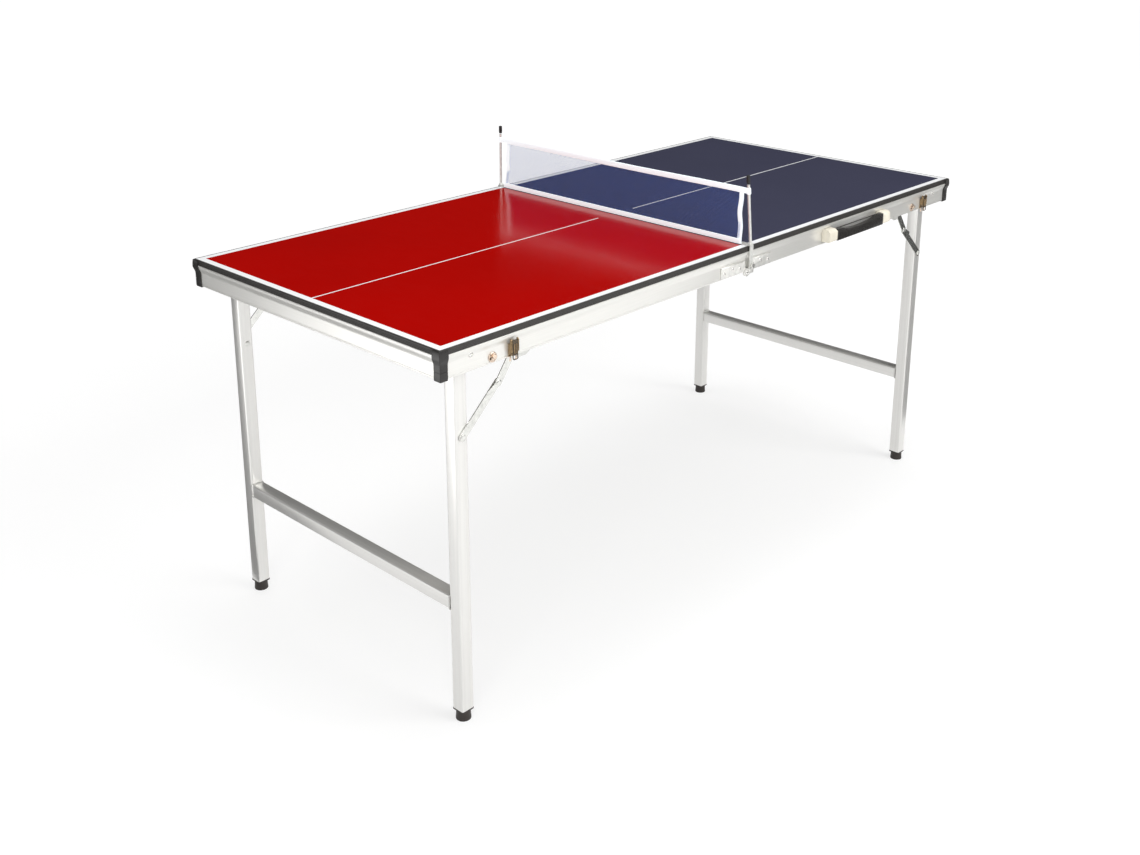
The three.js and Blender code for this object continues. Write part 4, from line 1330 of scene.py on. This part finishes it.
def area_light(name, place, target, size, power, tint):
    light = bpy.data.lights.new(name, "AREA")
    light.shape = "RECTANGLE"
    light.size, light.size_y = size
    light.energy = power
    light.color = tint
    obj = add_object(name, light)
    obj.location = place
    obj.rotation_euler = (Vector(target) - Vector(place)).to_track_quat("-Z", "Y").to_euler()


def studio_world(strength):
    """White backdrop; the light that it sends is strong from above and weak near the horizon."""
    world = bpy.data.worlds.new("studio")
    world.use_nodes = True
    world.node_tree.nodes.clear()
    wiring = Wiring(world.node_tree)
    direction = wiring.add("ShaderNodeTexCoord").outputs["Generated"]
    height = wiring.add("ShaderNodeSeparateXYZ", {"Vector": direction}).outputs["Z"]
    dome = wiring.spread(height, 0.015 * strength, strength, 0.5, 0.9)
    seen = wiring.add("ShaderNodeLightPath").outputs["Is Camera Ray"]
    level = wiring.add(
        "ShaderNodeMapRange", {"Value": seen, "To Min": dome, "To Max": 1.0}).outputs["Result"]
    shader = wiring.add("ShaderNodeBackground", {"Color": (1, 1, 1, 1), "Strength": level})
    wiring.add("ShaderNodeOutputWorld", {"Surface": shader.outputs[0]})
    bpy.context.scene.world = world


def make_camera(stage):
    camera = bpy.data.cameras.new("camera")
    camera.lens = stage.lens
    camera.sensor_width = 36
    camera.shift_x = 0.0042
    camera.shift_y = -0.15
    camera.clip_end = 100
    obj = add_object("camera", camera)
    obj.location = Vector((-1925.98, -1720.19 + CENTRE_Y, 1367.12)) * MM
    obj.rotation_euler = (math.pi / 2 - stage.elevation, 0, stage.azimuth)
    bpy.context.scene.camera = obj


def ground_sheet(name, corners, height, material):
    """One flat face of the stage."""
    mesh = bpy.data.meshes.new(name)
    mesh.from_pydata([(x, y, height) for x, y in corners], [], [tuple(range(len(corners)))])
    mesh.materials.append(material)
    obj = add_object(name, mesh)
    return obj


def reflector(name, corners, level):
    """Flat card on the floor that only shiny pieces see."""
    finish = Finish(
        name, Base_Color=(0.02, 0.02, 0.02, 1), Emission_Color=(1, 1, 1, 1), Emission_Strength=level)
    finish.rough(finish.wiring.noise(6.0, finish.place), 0.85, 0.95)
    card = ground_sheet(name, corners, 0.004, finish.material)
    for ray in ("camera", "diffuse", "shadow"):
        setattr(card, f"visible_{ray}", False)


def make_stage(settings):
    stage = settings.stage
    finish = Finish("studio_floor", Specular_IOR_Level=0.1, Emission_Color=(1, 1, 1, 1))
    finish.mottled(stage.floor, 0.01, 1.5)
    wiring = finish.wiring
    finish.rough(wiring.noise(6.0, finish.place), 0.75, 0.9)
    away = wiring.add("ShaderNodeVectorMath", {0: finish.place}, operation="LENGTH").outputs["Value"]
    finish.link("Emission Strength", wiring.spread(away, stage.glow, stage.glow + 0.2, 1.2, 4.0))
    reach = 30.0
    ground_sheet(
        "studio_floor", [(-reach, -reach), (reach, -reach), (reach, reach), (-reach, reach)], 0,
        finish.material)
    reflector(
        "left_dark_card",
        [(-0.72, 0.1), (-0.72, 4.5), (-4.0, 4.5), (-4.0, 2.3), (-1.85, 1.85), (-1.6, 1.5)], 0.03)
    reflector("left_bright_card", [(-4.0, 0.2), (-1.3, 0.2), (-1.78, 1.62), (-4.0, 2.0)], 2.6)
    reflector(
        "right_card", [(2.4, -3.2), (5.0, -3.2), (5.0, -0.9), (2.9, -0.9), (1.0, -0.32), (0.85, -0.45)], 0.04)
    area_light("key", (1.2, -3.4, 2.6), (0, 0, 0.5), (2.6, 2.0), 98, (1, 1, 0.99))
    area_light("fill", (-2.6, -1.9, 1.9), (-0.3, 0, 0.6), (1.8, 1.4), 42, (1, 1, 1))
    area_light("top", (0.2, 0.3, 4.2), (0, 0, 0.6), (2.4, 1.6), 64, (1, 1, 1))
    studio_world(stage.sky)
    make_camera(stage)
    bpy.context.scene.view_settings.view_transform = "Standard"


# ------------------------------------------------------------------ operators

MAKERS = (
    ("stage", "Stage", "Set up the floor, light and camera", make_stage),
    ("boards", "Boards", "Print the two playing boards", make_boards),
    ("edge_strips", "Edge strips", "Run the ridged strip round each half", make_edge_strips),
    ("rails", "Rails", "Draw the side, end and seam rails", make_rails),
    ("corner_caps", "Corner caps", "Mould the four corner caps", make_corner_caps),
    ("leg_frames", "Leg frames", "Weld the two leg frames", make_leg_frames),
    ("feet", "Feet", "Mould the four rubber feet", make_feet),
    ("stays", "Stays", "Stamp the links of the folding stays", make_stays),
    ("brackets", "Brackets", "Fold the brackets that carry the legs", make_brackets),
    ("hinges", "Hinges", "Fit the seam hinges, their rivets and pins", make_hinges),
    ("latches", "Latches", "Fit the latches and their catches", make_latches),
    ("handle", "Handle", "Mould the carrying handle", make_handle),
    ("net", "Net", "Knot the net and sew on its tapes", make_net),
    ("posts", "Net posts", "Make the net's posts, caps and clamp screws", make_posts),
    ("screws", "Screws", "Drive the screws of the case", make_screws),
)


def operator_for(name, label, tip, maker):
    """The operator class that runs one maker on the scene's settings."""
    def execute(self, context):
        maker(context.scene.table_settings)
        return {"FINISHED"}
    return type(f"TABLE_OT_{name}", (bpy.types.Operator,), {
        "bl_idname": f"table.{name}", "bl_label": label, "bl_description": tip, "execute": execute})


OPERATORS = tuple(operator_for(*row) for row in MAKERS)


class TABLE_PT_panel(bpy.types.Panel):
    """Lists the makers and the settings in the sidebar"""

    bl_idname = "TABLE_PT_panel"
    bl_label = "Folding table"
    bl_space_type = "VIEW_3D"
    bl_region_type = "UI"
    bl_category = "Table"

    def draw(self, context):
        for operator in OPERATORS:
            self.layout.operator(operator.bl_idname)
        settings = context.scene.table_settings
        for group in (settings.board, settings.metal, settings.plastic, settings.net, settings.stage):
            box = self.layout.box()
            for key in group.bl_rna.properties.keys():
                if key not in {"rna_type", "name"}:
                    box.prop(group, key)


CLASSES = (
    BoardSettings, MetalSettings, PlasticSettings, NetSettings, StageSettings, TableSettings,
    *OPERATORS, TABLE_PT_panel,
)


def register():
    for cls in CLASSES:
        bpy.utils.register_class(cls)
    bpy.types.Scene.table_settings = bpy.props.PointerProperty(type=TableSettings)


def unregister():
    del bpy.types.Scene.table_settings
    for cls in reversed(CLASSES):
        bpy.utils.unregister_class(cls)


def main():
    register()
    for name, *_ in MAKERS:
        getattr(bpy.ops.table, name)()


if __name__ == "__main__":
    main()
